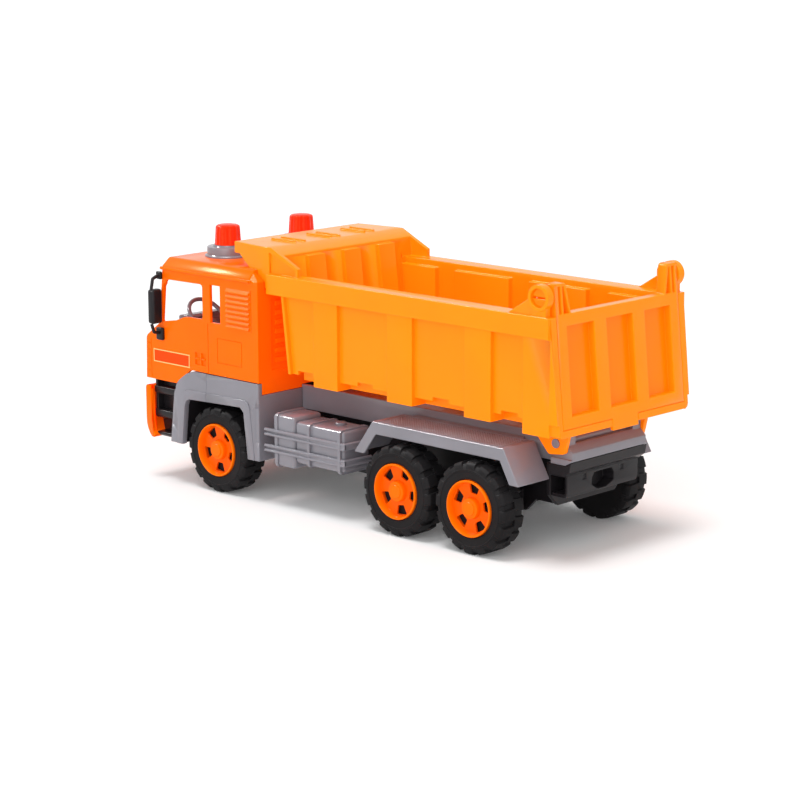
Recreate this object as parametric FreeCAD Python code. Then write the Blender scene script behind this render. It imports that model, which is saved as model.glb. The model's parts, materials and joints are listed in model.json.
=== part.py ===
import FreeCAD, Part
import math
import os

# A toy six-wheel dump truck, in millimetres. X runs forward, Y to the driver's left, Z up.
# The origin lies on the floor under the middle of the truck.

from FreeCAD import Vector

# Driving sizes of the whole truck
overall_length = 380.0
tyre_radius = 30.4
front_axle_x = 116.9
middle_axle_x = -56.9
rear_axle_x = -121.6
axle_z = tyre_radius
fit = 0.08          # radial clearance of a pin in its hole
seat_gap = 0.3      # clearance between parts of different bodies
wall = 2.4          # usual moulded wall
small_corner = 3.0  # a corner up to this radius gets two flats

# Wheels
wheel_face_y = 73.6     # outer face of the rim
tyre_width = 21.0
tyre_bore = 18.7
lug_height = 1.9
lug_count = 16
cheek = 1.0             # the outer side wall stands out past the lugs by this
bead_radius = 25.9
rim_fit = 0.1
rim_width = 18.0
rim_sides = 18          # flat facets round a rim, which keep its mesh light
rim_lip = 1.3
socket_sides = 12       # flats of the hub's socket for the axle
dish_depth = 4.7
disc_thick = 2.2
hub_radius = 7.0
hub_step = 3.2          # the hub stands out of the dish by this
axle_depth = 1.8        # the axle's end inside the hub, past the dish
press_gap = 0.05
window_count = 5
window_turns = (54.5, 44.6, 24.7)     # one window's angle above forward on each axle, front to rear
axle_radius = 2.0

# Cab
cab_half = 72.8
cab_rear = 72.0
cab_wall = 2.6
pillar_x = 170.0
roof_z = 160.0
roof_rear_z = 154.0     # foot of the chamfer along the roof's rear edge
roof_chamfer = 10.3
sill_z = 114.0
cab_floor_z = 84.0
nose_x = 188.8
nose_top_z = 103.0
nose_bottom_z = 72.5
gutter_z = 153.5
shoulder_y = 66.5
recess_half = 60.0      # the shallow recess in the cab's back
back_half = 69.6
back_bottom = 75.7
column_x = 162.8        # foot of the steering column
column_y = 47.0
column_z = 109.2
column_length = 12.0
column_lean = 45.0
wheel_ring = 13.8
ring_thick = 1.5

# Grey cab base with the front wheel arches
base_half = 73.2
base_rear = 71.8
base_bottom = 29.5
base_top = 83.6
arch_front = 164.4
leg_width = 13.0
arch_roof = 63.5

# Dump body
rail_half = 67.8
rail_top = 159.4
rail_bottom = 145.8
rail_front = 69.0
side_half = 63.0        # outer face of a panel between two ribs
liner_half = 50.7       # inner face of the hollow liner where it bulges
inner_half = 54.7       # inner face of the wall beside and above the bulges
ledge_z = 155.0         # top of the bulges
rib_half = 66.0
side_wall = 2.4
floor_thick = 2.6
rear_rib_width = 22.0
bed_front = 56.0
bed_rear = -182.2
bed_lean = 5.5
bed_front_run = 2.0
head_kink = 97.0
pad_pitch = 34.0        # the headboard's three pads
pad_half = 7.9
pad_depth = 3.7
pad_top = 171.0
notch_half = 7.0        # the notch in each panel's lower edge
notch_rise = 2.6
side_bottom = 92.8
foot_z = 87.3
rib_width = 22.6
rib_fronts = (25.2, -43.2, -111.2)
canopy_half = 64.8
canopy_front_half = 60.4
canopy_front = 107.8
canopy_top = 177.4
canopy_wall = 2.0
cheek_edge = ((69.0, 146.0), (76.8, 152.8), (87.6, 159.1), (101.7, 169.5))    # lower edge of its sides
cheek_thick = 3.4
cheek_recess = 1.8
slant_x = 67.1
wing_x = 40.8
wing_z = 165.1
strip_rear = 68.5
strip_front = 75.0
ramp_gap = 1.7          # height of the cheeks over the cab roof's ramp
ridge_groups = (-33.5, 0.0, 33.5)
ridge_pitch = 9.0
ear_x = -173.6
ear_z = 171.1
ear_radius = 8.3
ear_hole = 5.9
pivot_x = -166.0
pivot_z = 74.6
pivot_radius = 3.0
lug_half = 40.4
lug_thick = 3.4
slot_bottom = 64.7    # clears the lugs as the bed tips

# Tailgate
gate_half = 60.3
gate_top = 160.4
gate_bottom = 89.4
gate_top_x = -182.5
sill_bottom = 84.4
sill_top = 89.1
gate_slab = 7.0
field_depth = 5.0
field_pitch = 38.1
field_half = 13.0
field_bottom = 96.6
field_top = 152.8
tab_thick = 2.6
frame_half = 64.5
tab_half = 12.7
tab_bottom = 81.8
gate_lean = (gate_top_x + overall_length / 2) / (gate_top - tab_bottom)     # run out for each millimetre of drop
gate_arm = 3.0
arm_height = 19.1
arm_foot_y = 46.0
arm_top_y = 50.0
arm_wall = 2.0
arm_pocket = 5.0
arm_rib = (53.0, 55.0)

# Chassis
deck_half = 31.5
deck_top = 77.6
deck_bottom = 60.6
deck_front = 88.0
deck_drop = 7.0         # the deck's plate lies this far under the tops of its skirts
beam_half = 38.3
beam_x = -177.0
lamp_in = 11.0
lamp_out = 35.5
tray_half = 27.0
tray_bottom = 22.5
tray_front = 150.0
tray_rear = -158.5
tray_plate_half = 36.5
tray_bend = -130.0
tray_rise = 8.5
bearing_reach = 30.0

# Fenders
fender_out = 67.0
fender_in = 36.5
fender_top = 72.6
fender_bottom = 49.5
fender_front = -13.6
fender_rear = -158.4
fender_run = 13.0
fender_lip = 8.5
fender_wall = 2.4

# Tanks
tank_face = 70.0
tank_in = 33.0
tank_front = 61.8
tank_split = 40.6
tank_rear = -5.6
tank_top = 64.6
tank_bottom = 28.4
tank2_top = 61.8
tank2_bottom = 32.9
guard_heights = (51.5, 40.3)
guard_rear = -9.8
guard_front = 68.4

# Beacons and mirrors
beacon_x = 141.5
beacon_y = 35.8
beacon_z = roof_z + 0.9
drum_height = 7.2
collar_height = 8.3
round_sides = 20        # flat facets round a beacon
mirror_x = 172.0
mirror_out = 83.0
step_in = 62.0
step_out = 70.2
seat_y = 38.0
seat_half = 16.0


def arc_points(outline):
    """Corner points with the start, middle and end of each corner's arc and its radius."""
    result = []
    count = len(outline)
    for i, point in enumerate(outline):
        here = Vector(point[0], point[1], 0)
        radius = point[2] if len(point) > 2 else 0
        if radius <= 0:
            result.append((here, None, here, 0))
            continue
        before = Vector(outline[i - 1][0], outline[i - 1][1], 0)
        after = Vector(outline[(i + 1) % count][0], outline[(i + 1) % count][1], 0)
        u = (before - here).normalize()
        v = (after - here).normalize()
        half = u.getAngle(v) / 2
        reach = radius / math.tan(half)
        centre = here + (u + v).normalize() * (radius / math.sin(half))
        middle = centre + (here - centre).normalize() * radius
        result.append((here + u * reach, middle, here + v * reach, radius))
    return result


def face_from(outline, place):
    """A flat face with straight sides; small corners get two flats and large ones an arc."""
    corners = arc_points(outline)
    edges = []
    for i, (start, middle, end, radius) in enumerate(corners):
        if radius > small_corner:
            edges.append(Part.Arc(place(start), place(middle), place(end)).toShape())
        elif radius > 0:
            edges.append(Part.LineSegment(place(start), place(middle)).toShape())
            edges.append(Part.LineSegment(place(middle), place(end)).toShape())
        following = corners[(i + 1) % len(corners)][0]
        if (following - end).Length > 1e-6:
            edges.append(Part.LineSegment(place(end), place(following)).toShape())
    return Part.Face(Part.Wire(edges))


def side_plate(outline, y0, y1):
    """An outline in X and Z, extruded along Y."""
    face = face_from(outline, lambda p: Vector(p.x, y0, p.y))
    return face.extrude(Vector(0, y1 - y0, 0))


def cross_plate(outline, x0, x1):
    """An outline in Y and Z, extruded along X."""
    face = face_from(outline, lambda p: Vector(x0, p.x, p.y))
    return face.extrude(Vector(x1 - x0, 0, 0))


def block(x0, x1, y0, y1, z0, z1):
    return Part.makeBox(x1 - x0, y1 - y0, z1 - z0, Vector(x0, y0, z0))


def rod(x, z, y0, y1, radius):
    """A cylinder along Y."""
    return Part.makeCylinder(radius, y1 - y0, Vector(x, y0, z), Vector(0, 1, 0))


def lathe(profile, sides):
    """A turned solid in flat facets about Z, from (radius, height) corners in order."""
    rings = []
    for radius, height in profile:
        count = sides if radius > 0 else 1
        angles = [2 * math.pi * i / sides for i in range(count)]
        rings.append([Vector(radius * math.cos(a), radius * math.sin(a), height) for a in angles])
    faces = []
    for low, high in zip(rings, rings[1:] + rings[:1]):
        if len(low) == 1 and len(high) == 1:
            continue
        for i in range(sides):
            corners = []
            for ring, step in ((low, 0), (low, 1), (high, 1), (high, 0)):
                corner = ring[(i + step) % len(ring)]
                if corner not in corners:
                    corners.append(corner)
            faces.append(Part.Face(Part.makePolygon(corners + corners[:1])))
    solid = Part.Solid(Part.Shell(faces))
    if solid.Volume < 0:
        solid.reverse()
    return solid.removeSplitter()


def wheel_lathe(profile, sides, x):
    """A turned solid about the axle at x, from (radius, Y) corners."""
    solid = lathe(profile, sides)
    solid.rotate(Vector(0, 0, 0), Vector(1, 0, 0), -90)
    solid.rotate(Vector(0, 0, 0), Vector(0, 1, 0), 180.0 / sides)
    solid.translate(Vector(x, 0, axle_z))
    return solid


def joined(shapes):
    shapes = list(shapes)
    if len(shapes) == 1:
        return shapes[0]
    return shapes[0].multiFuse(shapes[1:]).removeSplitter()


def cut(shape, tools):
    return shape.cut(list(tools)).removeSplitter()


def mirrored(shape):
    return shape.mirror(Vector(0, 0, 0), Vector(0, 1, 0))


def both_sides(shape):
    return [shape, mirrored(shape)]


def bar_x(x0, x1, y0, y1, z0, z1, corner):
    """A box with its four long edges along X rounded."""
    outline = [(y0, z0, corner), (y1, z0, corner), (y1, z1, corner), (y0, z1, corner)]
    return cross_plate(outline, x0, x1)


# Wheels

def ring_point(radius, angle, x, y):
    """A point round an axle at an angle in degrees."""
    a = math.radians(angle)
    return Vector(x + radius * math.cos(a), y, axle_z + radius * math.sin(a))


def lug_row(x, y0, y1, turn):
    """One row of tread lugs with the carcass under them, as one toothed slice."""
    pitch = 360.0 / lug_count
    top = tyre_radius / math.cos(math.radians(pitch / 4))
    base = tyre_radius - lug_height
    points = []
    for i in range(lug_count):
        for share, radius in ((-0.33, base), (-0.25, top), (0.25, top), (0.33, base)):
            points.append(ring_point(radius, (i + share) * pitch + turn, x, y0))
    face = Part.Face(Part.makePolygon(points + points[:1]))
    return face.extrude(Vector(0, y1 - y0, 0))


def tyre(x, side):
    """A wide tyre with two staggered rows of lugs and a stepped outer cheek."""
    outer = wheel_face_y - 0.8
    inner = outer - tyre_width
    middle = (outer + inner) / 2
    sides = 2 * lug_count
    rows = [lug_row(x, middle, outer - cheek, 0.0), lug_row(x, inner, middle, 180.0 / lug_count)]
    shoulder = tyre_radius - lug_height - 0.8
    bore = tyre_bore / math.cos(math.pi / sides)
    side_wall = wheel_lathe([
        (bore, outer - cheek - 1.0), (shoulder, outer - cheek - 1.0), (shoulder, outer - cheek), (bead_radius, outer),
        (bore, outer)], sides, x)
    hole = wheel_lathe([(0, inner - 1.0), (bore, inner - 1.0), (bore, outer + 1.0), (0, outer + 1.0)], sides, x)
    shape = cut(joined(rows + [side_wall]), [hole])
    return shape if side > 0 else mirrored(shape)


def rim(x, side, turn):
    """A dished rim with windows round a stepped hub, one window at the angle turn above forward."""
    face = wheel_face_y
    seat = tyre_bore - rim_fit
    back = face - rim_width
    dish = face - dish_depth
    inner = seat - rim_lip
    body = wheel_lathe([
        (0, dish - disc_thick), (inner - 2.4, dish - disc_thick), (inner - 0.8, back), (seat, back),
        (seat, face), (inner, face), (inner - 2.0, dish), (hub_radius, dish),
        (hub_radius - 0.5, dish + hub_step), (0, dish + hub_step)], rim_sides, x)
    windows = []
    inside = hub_radius + 1.6
    outside = inner - 3.4
    for i in range(window_count):
        outline = [(inside, -1.8), (outside, -3.2), (outside, 3.2), (inside, 1.8)]
        shape = side_plate(outline, dish - disc_thick - 1, dish + 1)
        shape.rotate(Vector(0, 0, 0), Vector(0, 1, 0), 360.0 * i / window_count - turn)
        shape.translate(Vector(x, 0, axle_z))
        windows.append(shape)
    socket = (axle_radius + press_gap) / math.cos(math.pi / socket_sides)
    end = dish + axle_depth + 0.2
    bore = wheel_lathe([(0, back), (socket, back), (socket, end), (0, end)], socket_sides, x)
    shape = cut(body, windows + [bore])
    return shape if side > 0 else mirrored(shape)


def axle(x):
    reach = wheel_face_y - dish_depth + axle_depth
    return rod(x, axle_z, -reach, reach, axle_radius)


# Chassis

def underframe():
    """The black tray: side walls, a top and end walls, open below, with a bearing for each axle."""
    top = deck_bottom - seat_gap
    tail_z = tray_bottom + tray_rise
    bend = tray_bend - tray_rise
    tray = side_plate([
        (tray_rear, tail_z), (tray_rear, top), (tray_front, top), (tray_front, tray_bottom), (tray_bend, tray_bottom),
        (bend, tail_z)], -tray_half, tray_half)
    hollow = block(tray_rear + 3.0, tray_front - 3.0, -tray_half + 3.0, tray_half - 3.0, tray_bottom - 1, top - 3.0)
    end_plate = cross_plate([
        (-tray_plate_half + 8.0, tail_z), (tray_plate_half - 8.0, tail_z), (tray_plate_half, tail_z + 8.0), (tray_plate_half, top),
        (-tray_plate_half, top), (-tray_plate_half, tail_z + 8.0)], tray_rear, tray_rear + 3.0)
    extras = [end_plate]
    for x in (70.0, 10.0, -89.0):
        extras.append(block(x - 1.2, x + 1.2, -tray_half + 2.8, tray_half - 2.8, tray_bottom + 6, top - 2.8))
    holes = []
    for x in (front_axle_x, middle_axle_x, rear_axle_x):
        bearing = block(x - 6.0, x + 6.0, tray_half - 0.5, bearing_reach, axle_z - 6.0, axle_z + 6.0)
        extras += both_sides(bearing)
        holes.append(rod(x, axle_z, -60.0, 60.0, axle_radius + fit))
    return cut(joined([cut(tray, [hollow])] + extras), holes)


def chassis_deck():
    """The grey deck: long skirts on the tray, the sloped rear beam and bearings for the bed's pin."""
    plate_top = deck_top - deck_drop
    beam_top = deck_top - 4.0
    body = block(beam_x + 8.0, deck_front, -deck_half, deck_half, deck_bottom, plate_top)
    skirt = block(-150.0, deck_front, deck_half - 3.0, deck_half, deck_bottom, deck_top)
    beam = side_plate([
        (beam_x, 63.5), (beam_x, 68.9), (-172.0, beam_top), (-160.0, beam_top), (-160.0, deck_bottom),
        (-172.0, deck_bottom)], -beam_half, beam_half)
    slot_in = lug_half - lug_thick - seat_gap
    bearing = side_plate([
        (-172.5, 72.0), (-172.5, 80.4, 2.0), (-160.0, 80.4, 2.0), (-150.0, 72.0), (-150.0, plate_top - 1.0),
        (-160.0, plate_top - 1.0)], deck_half - 3.0, slot_in)
    shape = joined([body, beam] + both_sides(skirt) + both_sides(bearing))
    half = deck_half - 3.0
    inside = block(-150.0, deck_front - 3.0, -half, half, deck_bottom - 1, plate_top - 2.4)
    slot = side_plate([
        (pivot_x - 11.5, slot_bottom), (pivot_x + 13.5, slot_bottom), (pivot_x + 22.0, 76.0), (pivot_x + 22.0, 90.0),
        (pivot_x - 16.0, 90.0), (pivot_x - 16.0, 72.0)], slot_in, beam_half + 1.0)
    pin_hole = rod(pivot_x, pivot_z, -45.0, 45.0, pivot_radius + fit)
    return cut(shape, [inside] + both_sides(slot) + [pin_hole])


def bed_pin():
    return rod(pivot_x, pivot_z, -lug_half - 0.6, lug_half + 0.6, pivot_radius)


def rear_bumper():
    """The black beam under the rear edge, with two open-ended lamp housings and a towing recess."""
    back = tray_rear - seat_gap
    top = deck_bottom - seat_gap
    beam = side_plate([
        (beam_x + 0.3, 63.0), (-175.4, 56.5), (-170.6, 53.0), (back, 53.0), (back, top), (-172.0, top)], -beam_half, beam_half)
    lamp = side_plate([
        (back, 38.6), (-170.2, 38.6), (-171.6, 42.0), (-171.6, 53.5), (-170.2, 55.0), (back, 55.0)], 0.0, lamp_out)
    hollow = side_plate([
        (back + 1.0, 41.0), (-169.0, 41.0), (-170.0, 43.0), (-170.0, 51.0), (-169.0, 52.2), (back + 1.0, 52.2)], lamp_out - 12.0, lamp_out + 1)
    recess = cross_plate([
        (-4.3, 39.8), (-lamp_in, 43.5), (-lamp_in, 48.0), (-8.6, 51.4), (8.6, 51.4), (lamp_in, 48.0), (lamp_in, 43.5),
        (4.3, 39.8)], -180.0, tray_rear - 4.0)
    dent = block(-172.0, -170.8, 17.0, 20.4, 48.6, 52.0)
    return cut(joined([beam] + both_sides(lamp)), [recess] + both_sides(hollow) + both_sides(dent))


def fender(side):
    """A bent strip over the two rear wheels with a flap at each end."""
    front = fender_front
    rear = fender_rear
    run = fender_run
    wall_run = fender_wall + 0.8
    under = fender_top - fender_wall
    lip_z = fender_top - fender_lip
    outer = [
        (front, fender_bottom), (front - run - 4.0, fender_top), (rear + run, fender_top), (rear, fender_bottom)]
    inner = [
        (rear + wall_run, fender_bottom), (rear + run + 1.2, under), (front - run - 5.2, under), (front - wall_run, fender_bottom)]
    strip = side_plate(outer + inner, fender_in, fender_out)
    lip = side_plate(outer + [
        (rear + 8.0, fender_bottom), (rear + run + 3.0, lip_z), (front - run - 7.0, lip_z), (front - 9.0, fender_bottom)],
        fender_out - 2.4, fender_out)
    arm = block(rear + run + 12.0, front - run - 12.0, deck_half + 0.2, fender_in + 1.0, under, fender_top)
    shape = joined([strip, lip, arm])
    return shape if side > 0 else mirrored(shape)


def tank(side):
    """Two box tanks in a row with strap ribs, a filler cap and two guard bars."""
    tall = bar_x(tank_split, tank_front, tank_in, tank_face, tank_bottom, tank_top, 3.0)
    low = bar_x(tank_rear, tank_split, tank_in, tank_face - 1.0, tank2_bottom, tank2_top, 3.0)
    straps = []
    for x in (tank_front - 4.5, tank_split - 14.5, tank_rear + 2.5):
        top = tank_top if x > tank_split else tank2_top
        bottom = tank_bottom if x > tank_split else tank2_bottom
        straps.append(block(x - 1.2, x + 1.2, tank_in + 4, tank_face + 0.8, bottom - 0.8, top + 0.8))
    cap = lathe([(0, 0), (4.0, 0), (4.0, 4.0), (0, 4.0)], 16)
    cap.translate(Vector(tank_rear + 6.0, tank_face - 9.0, tank2_top - 0.5))
    bars = []
    for z in guard_heights:
        for dz in (-1.4, 1.4):
            bars.append(block(guard_rear, guard_front, tank_face - 0.5, tank_face + 2.6, z + dz - 1.0, z + dz + 1.0))
        bars.append(block(guard_rear, guard_front, tank_face - 0.5, tank_face + 1.6, z - 1.4, z + 1.4))
        bars.append(block(guard_rear, guard_rear + 2.2, 46.0, tank_face + 1.6, z - 2.4, z + 2.4))
    mount = block(tank_rear + 4, tank_front - 4, tray_half + 0.2, tank_in + 1, 44.0, 60.0)
    shape = joined([tall, low, cap, mount] + straps + bars)
    return shape if side > 0 else mirrored(shape)


# Cab

def cab_profile(inset):
    """Side outline of the cab, moved in by a wall."""
    i = inset
    return [
        (cab_rear + i, cab_floor_z + i), (cab_rear + i, roof_rear_z - 0.4 * i, 1.5), (cab_rear + roof_chamfer + 0.4 * i, roof_z - i, 2.0),
        (156.0, roof_z - i + 0.6, 4.0),
        (pillar_x - i, 153.0 - i, 2.0), (174.0 - i, sill_z - i * 0.4, 2.0), (nose_x - i, nose_top_z - i * 0.4, 3.0),
        (nose_x + 0.8 - i, nose_bottom_z + i), (157.4 - i, nose_bottom_z + i), (142.0 - i, cab_floor_z + i)]


def cab_section(inset):
    """Cross-section of the cab, with sloped shoulders above the gutter, moved in by a wall."""
    half = cab_half - inset
    edge = shoulder_y - 0.6 * inset
    low = gutter_z - 0.4 * inset
    top = roof_z + 0.8 - inset
    return [(-half, 60.0), (half, 60.0), (half, low), (edge, top, 1.5), (-edge, top, 1.5), (-half, low)]


def roof_ramp(drop):
    """The space over the roof's sunken rear ramp, which clears the canopy's side plates."""
    down = ramp_gap + drop
    start = cheek_edge[0][0]
    slope = [(x + drop, z - down) for x, z in cheek_edge]
    return [(start - 9.0, slope[0][1])] + slope + [(slope[-1][0], roof_z + 20.0), (start - 9.0, roof_z + 20.0)]


def cab_shell():
    """The hollow orange cab with its side windows, windscreen opening and open floor."""
    inner_half = cab_half - cab_wall
    outer = side_plate(cab_profile(0.0), -cab_half, cab_half).common(cross_plate(cab_section(0.0), 60.0, 200.0))
    inner = side_plate(cab_profile(cab_wall), -inner_half, inner_half)
    inner = inner.common(cross_plate(cab_section(cab_wall), 60.0, 200.0))
    floor = block(cab_rear + cab_wall, nose_x - cab_wall, -inner_half, inner_half, 70.0, 100.0)
    reach = cab_half + 1
    door_window = side_plate([
        (128.4, 121.8, 2.0), (128.4, 146.2, 2.0), (165.4, 145.8, 2.0), (169.6, 140.5, 1.5), (171.4, 115.2, 1.0),
        (157.0, 117.6, 3.0), (147.0, 121.3, 3.0)], -reach, reach)
    rear_window = side_plate([(110.3, 120.6), (110.3, 147.0), (120.4, 147.0), (120.4, 120.6)], -reach, reach)
    screen = cross_plate([(-63.0, 118.0, 5.0), (63.0, 118.0, 5.0), (58.0, 148.0, 5.0), (-58.0, 148.0, 5.0)], 160.0, 180.0)
    over_base = side_plate(base_outline(seat_gap), -reach, reach)
    ramp_half = canopy_half + 0.8
    outer = cut(outer, [side_plate(roof_ramp(0.0), -ramp_half, ramp_half)])
    inner = cut(inner, [side_plate(roof_ramp(cab_wall), -ramp_half - cab_wall, ramp_half + cab_wall)])
    shape = cut(outer, [inner, floor, door_window, rear_window, screen, over_base])
    gutter = side_plate([(78.0, 153.0), (78.0, 154.6), (168.0, 154.2), (169.0, 152.6)], cab_half - 0.5, cab_half + 0.9)
    back = block(cab_rear, cab_rear + cab_wall, -back_half, back_half, back_bottom, cab_floor_z + 3.0)
    deck_side = deck_half + seat_gap
    over_deck = block(cab_rear - 1, cab_rear + cab_wall + 1, -deck_side, deck_side, back_bottom - 1, deck_top + seat_gap)
    recess = block(cab_rear - 1, cab_rear + 1.0, -recess_half, recess_half, 91.8, 141.5)
    return cut(joined([shape, back] + both_sides(gutter)), [over_deck, recess])


def bumper_back(z):
    """Where the back edge of the bumper's end wall lies at a height."""
    return 178.0 + (184.2 - 178.0) * (z - 29.8) / (67.6 - 29.8)


def front_bumper():
    """The orange bumper, drawn back at its lower edge, with two lamp recesses."""
    front = overall_length / 2
    half = cab_half - 2.0
    body = side_plate([(184.2, 67.6), (front, 67.6, 2.0), (front, 47.0, 8.0), (184.0, 29.8, 2.0), (178.0, 29.8)], -half, half)
    inside = side_plate([
        (170.0, 27.0), (176.0, 31.0), (front - 3.2, 46.0, 6.0), (front - 3.2, 65.0), (170.0, 65.0)], -half + 3.0, half - 3.0)
    lamp = cross_plate([(44.0, 47.0, 2.0), (64.0, 47.0, 2.0), (64.0, 60.0, 2.0), (40.0, 60.0, 2.0)], front - 1.4, front + 1)
    return cut(body, [inside] + both_sides(lamp))


def base_outline(grow):
    """Side outline of the grey cab base; grow moves its top out by a gap."""
    return [
        (base_rear, base_bottom), (base_rear, base_top + grow), (141.0 + grow, base_top + grow, 12.0),
        (159.6 + grow, 68.0 + grow, 10.0), (arch_front + grow, base_bottom)]


def cab_base():
    """The grey base of the cab: two wheel arches joined by a rear wall and a sloped front skin."""
    outer = side_plate(base_outline(0.0), -base_half, base_half)
    arch = side_plate([
        (82.6, base_bottom - 1), (87.4, arch_roof + 1.5, 3.0), (147.4, arch_roof - 0.5, 5.0),
        (arch_front - leg_width, base_bottom - 1)], -base_half - 1, base_half + 1)
    leg_side = base_half - 3.5
    room = block(base_rear + wall, 170.0, -leg_side, leg_side, 20.0, arch_roof)
    well = block(base_rear + wall, 138.0, -66.0, 66.0, arch_roof - 1, 90.0)
    ahead = side_plate([(139.0, 20.0), (139.0, 81.2), (140.0, 81.2), (157.0, 66.0), (157.0, 20.0)], -66.0, 66.0)
    gap_half = back_half + seat_gap
    behind = block(base_rear - 1, cab_rear + cab_wall + seat_gap, -gap_half, gap_half, back_bottom - seat_gap, 90.0)
    deck_side = deck_half + seat_gap
    channel = block(base_rear - 1, 100.0, -deck_side, deck_side, 20.0, deck_top + seat_gap)
    return cut(outer, [arch, room, well, behind, ahead, channel])


def steps(side):
    """Three black treads on a frame between the bumper and the wheel arch."""
    frame = side_plate([
        (165.0, 31.0), (160.5, 66.5), (160.5, 71.6), (183.6, 71.6), (183.6, 66.0), (183.2, 45.0), (175.4, 31.0)],
        step_in, step_in + 2.0)
    treads = []
    for z, back, front in ((65.0, 161.2, bumper_back(65.0) - 0.6), (48.0, 163.2, bumper_back(48.0) - 0.4), (32.0, 165.4, 175.8)):
        treads.append(block(back, front, step_in, step_out, z, z + 2.0))
    shape = joined([frame] + treads)
    return shape if side > 0 else mirrored(shape)


def interior():
    """The grey inside moulding: floor, hollow dashboard, steering column and two seats."""
    floor_z = base_top + seat_gap
    half = cab_half - cab_wall - seat_gap
    floor = block(cab_rear + cab_wall + seat_gap, 140.0, -half, half, floor_z, floor_z + wall)
    dash = side_plate([
        (138.0, floor_z), (150.0, 108.0), (154.0, 115.0, 2.0), (168.0, 115.0), (168.0, floor_z)], -66.0, 66.0)
    under_dash = side_plate([
        (141.0, floor_z - 1), (141.0, floor_z), (152.4, 107.0), (155.4, 112.6), (165.6, 112.6), (165.6, floor_z - 1)], -63.6, 63.6)
    binnacle = side_plate([(155.0, 114.0), (157.0, 119.5, 1.5), (167.0, 119.0, 1.5), (167.0, 114.0)], 27.0, 61.0)
    seats = []
    for y in (-seat_y, seat_y):
        seats.append(block(92.0, 122.0, y - seat_half, y + seat_half, floor_z + 2.0, 100.0))
        seats.append(side_plate([
            (88.0, floor_z + 2.0), (84.0, 132.0, 3.0), (93.0, 132.0, 3.0), (98.0, 100.0), (98.0, floor_z + 2.0)],
            y - seat_half, y + seat_half))
    column = lathe([(0, 0), (3.0, 0), (3.0, column_length), (0, column_length)], 12)
    column.Placement = column_place(0.0)
    return cut(joined([floor, dash, binnacle, column] + seats), [under_dash])


def column_place(along):
    """A place on the steering column, at a distance up its axis from its foot in the dashboard."""
    lean = FreeCAD.Rotation(Vector(0, 1, 0), -column_lean)
    foot = Vector(column_x, column_y, column_z)
    return FreeCAD.Placement(foot + lean.multVec(Vector(0, 0, along)), lean)


def steering_wheel():
    """A ring on three spokes, tilted on the column."""
    section = []
    for i in range(5):
        a = math.radians(72 * i)
        section.append((wheel_ring + ring_thick * math.cos(a), 1.5 + ring_thick * math.sin(a)))
    ring = lathe(section, 20)
    hub = lathe([(0, 0), (3.4, 0), (3.4, 2.4), (0, 2.4)], 12)
    spokes = []
    for angle in (90, 210, 330):
        spoke = Part.makeBox(wheel_ring, 2.4, 1.8, Vector(0, -1.2, 0.4))
        spoke.rotate(Vector(0, 0, 0), Vector(0, 0, 1), angle)
        spokes.append(spoke)
    shape = joined([ring, hub] + spokes)
    shape.Placement = column_place(column_length + seat_gap)
    return shape


def mirror(side):
    """A tall black mirror housing on an upper and a lower arm."""
    root = cab_half + 0.2
    housing = cross_plate([
        (74.0, 112.5, 3.0), (mirror_out, 112.5, 3.0), (mirror_out, 141.9, 3.0), (74.0, 141.9, 3.0)],
        mirror_x - 3.0, mirror_x + 3.0)
    pad = block(mirror_x - 3.5, mirror_x + 3.5, root, cab_half + 2.4, 102.0, 111.0)
    pieces = [housing, pad]
    for y0, y1, z0, z1 in ((79.6, 82.0, 140.0, 149.4), (79.6, 82.0, 106.0, 114.0), (root, 82.0, 105.4, 107.8), (root, 82.0, 147.2, 149.4)):
        pieces.append(block(mirror_x - 1.2, mirror_x + 1.2, y0, y1, z0, z1))
    shape = joined(pieces)
    return shape if side > 0 else mirrored(shape)


def beacon_base(side):
    """A drum between a flange and a low collar, standing on the roof."""
    profile = [
        (0, 0), (16.4, 0), (16.4, 1.4), (14.8, 1.4), (14.8, drum_height - 0.4), (14.4, drum_height), (10.4, drum_height),
        (10.4, collar_height), (0, collar_height)]
    shape = lathe(profile, round_sides)
    shape.translate(Vector(beacon_x, side * beacon_y, beacon_z))
    return shape


def beacon_cap(side):
    """A tapered lamp cap with a low dome."""
    profile = [(0, 0), (9.1, 0), (8.3, 12.2), (7.9, 12.9), (5.5, 14.1), (0, 14.7)]
    shape = lathe(profile, round_sides)
    shape.translate(Vector(beacon_x, side * beacon_y, beacon_z + collar_height + 0.1))
    return shape


# Dump body and tailgate

def head_x(z):
    """Where the headboard's front face lies at a height."""
    top = bed_front + bed_front_run
    low = bed_front - bed_lean
    return low + (top - low) * (z - head_kink) / (rail_top - head_kink)


def head_slab(z0, z1, depth0, depth1, y0, y1):
    """A slab in the headboard's leaning plane, between two depths behind its front face."""
    return side_plate([
        (head_x(z0) - depth0, z0), (head_x(z1) - depth0, z1), (head_x(z1) - depth1, z1), (head_x(z0) - depth1, z0)], y0, y1)


def headboard():
    """The slanted front wall with three hollow pads that bulge into the bed."""
    plate = head_slab(side_bottom, rail_top, 0.0, side_wall, -rib_half, rib_half)
    pads = []
    pockets = []
    floor_top = side_bottom + floor_thick
    for i in (-1, 0, 1):
        y0 = i * pad_pitch - pad_half
        y1 = i * pad_pitch + pad_half
        pads.append(head_slab(floor_top - 1.0, pad_top, 1.0, pad_depth + side_wall, y0, y1))
        pockets.append(head_slab(floor_top + 2.0, pad_top - side_wall, -3.0, pad_depth, y0 + side_wall, y1 - side_wall))
    return [plate] + pads, pockets


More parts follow.
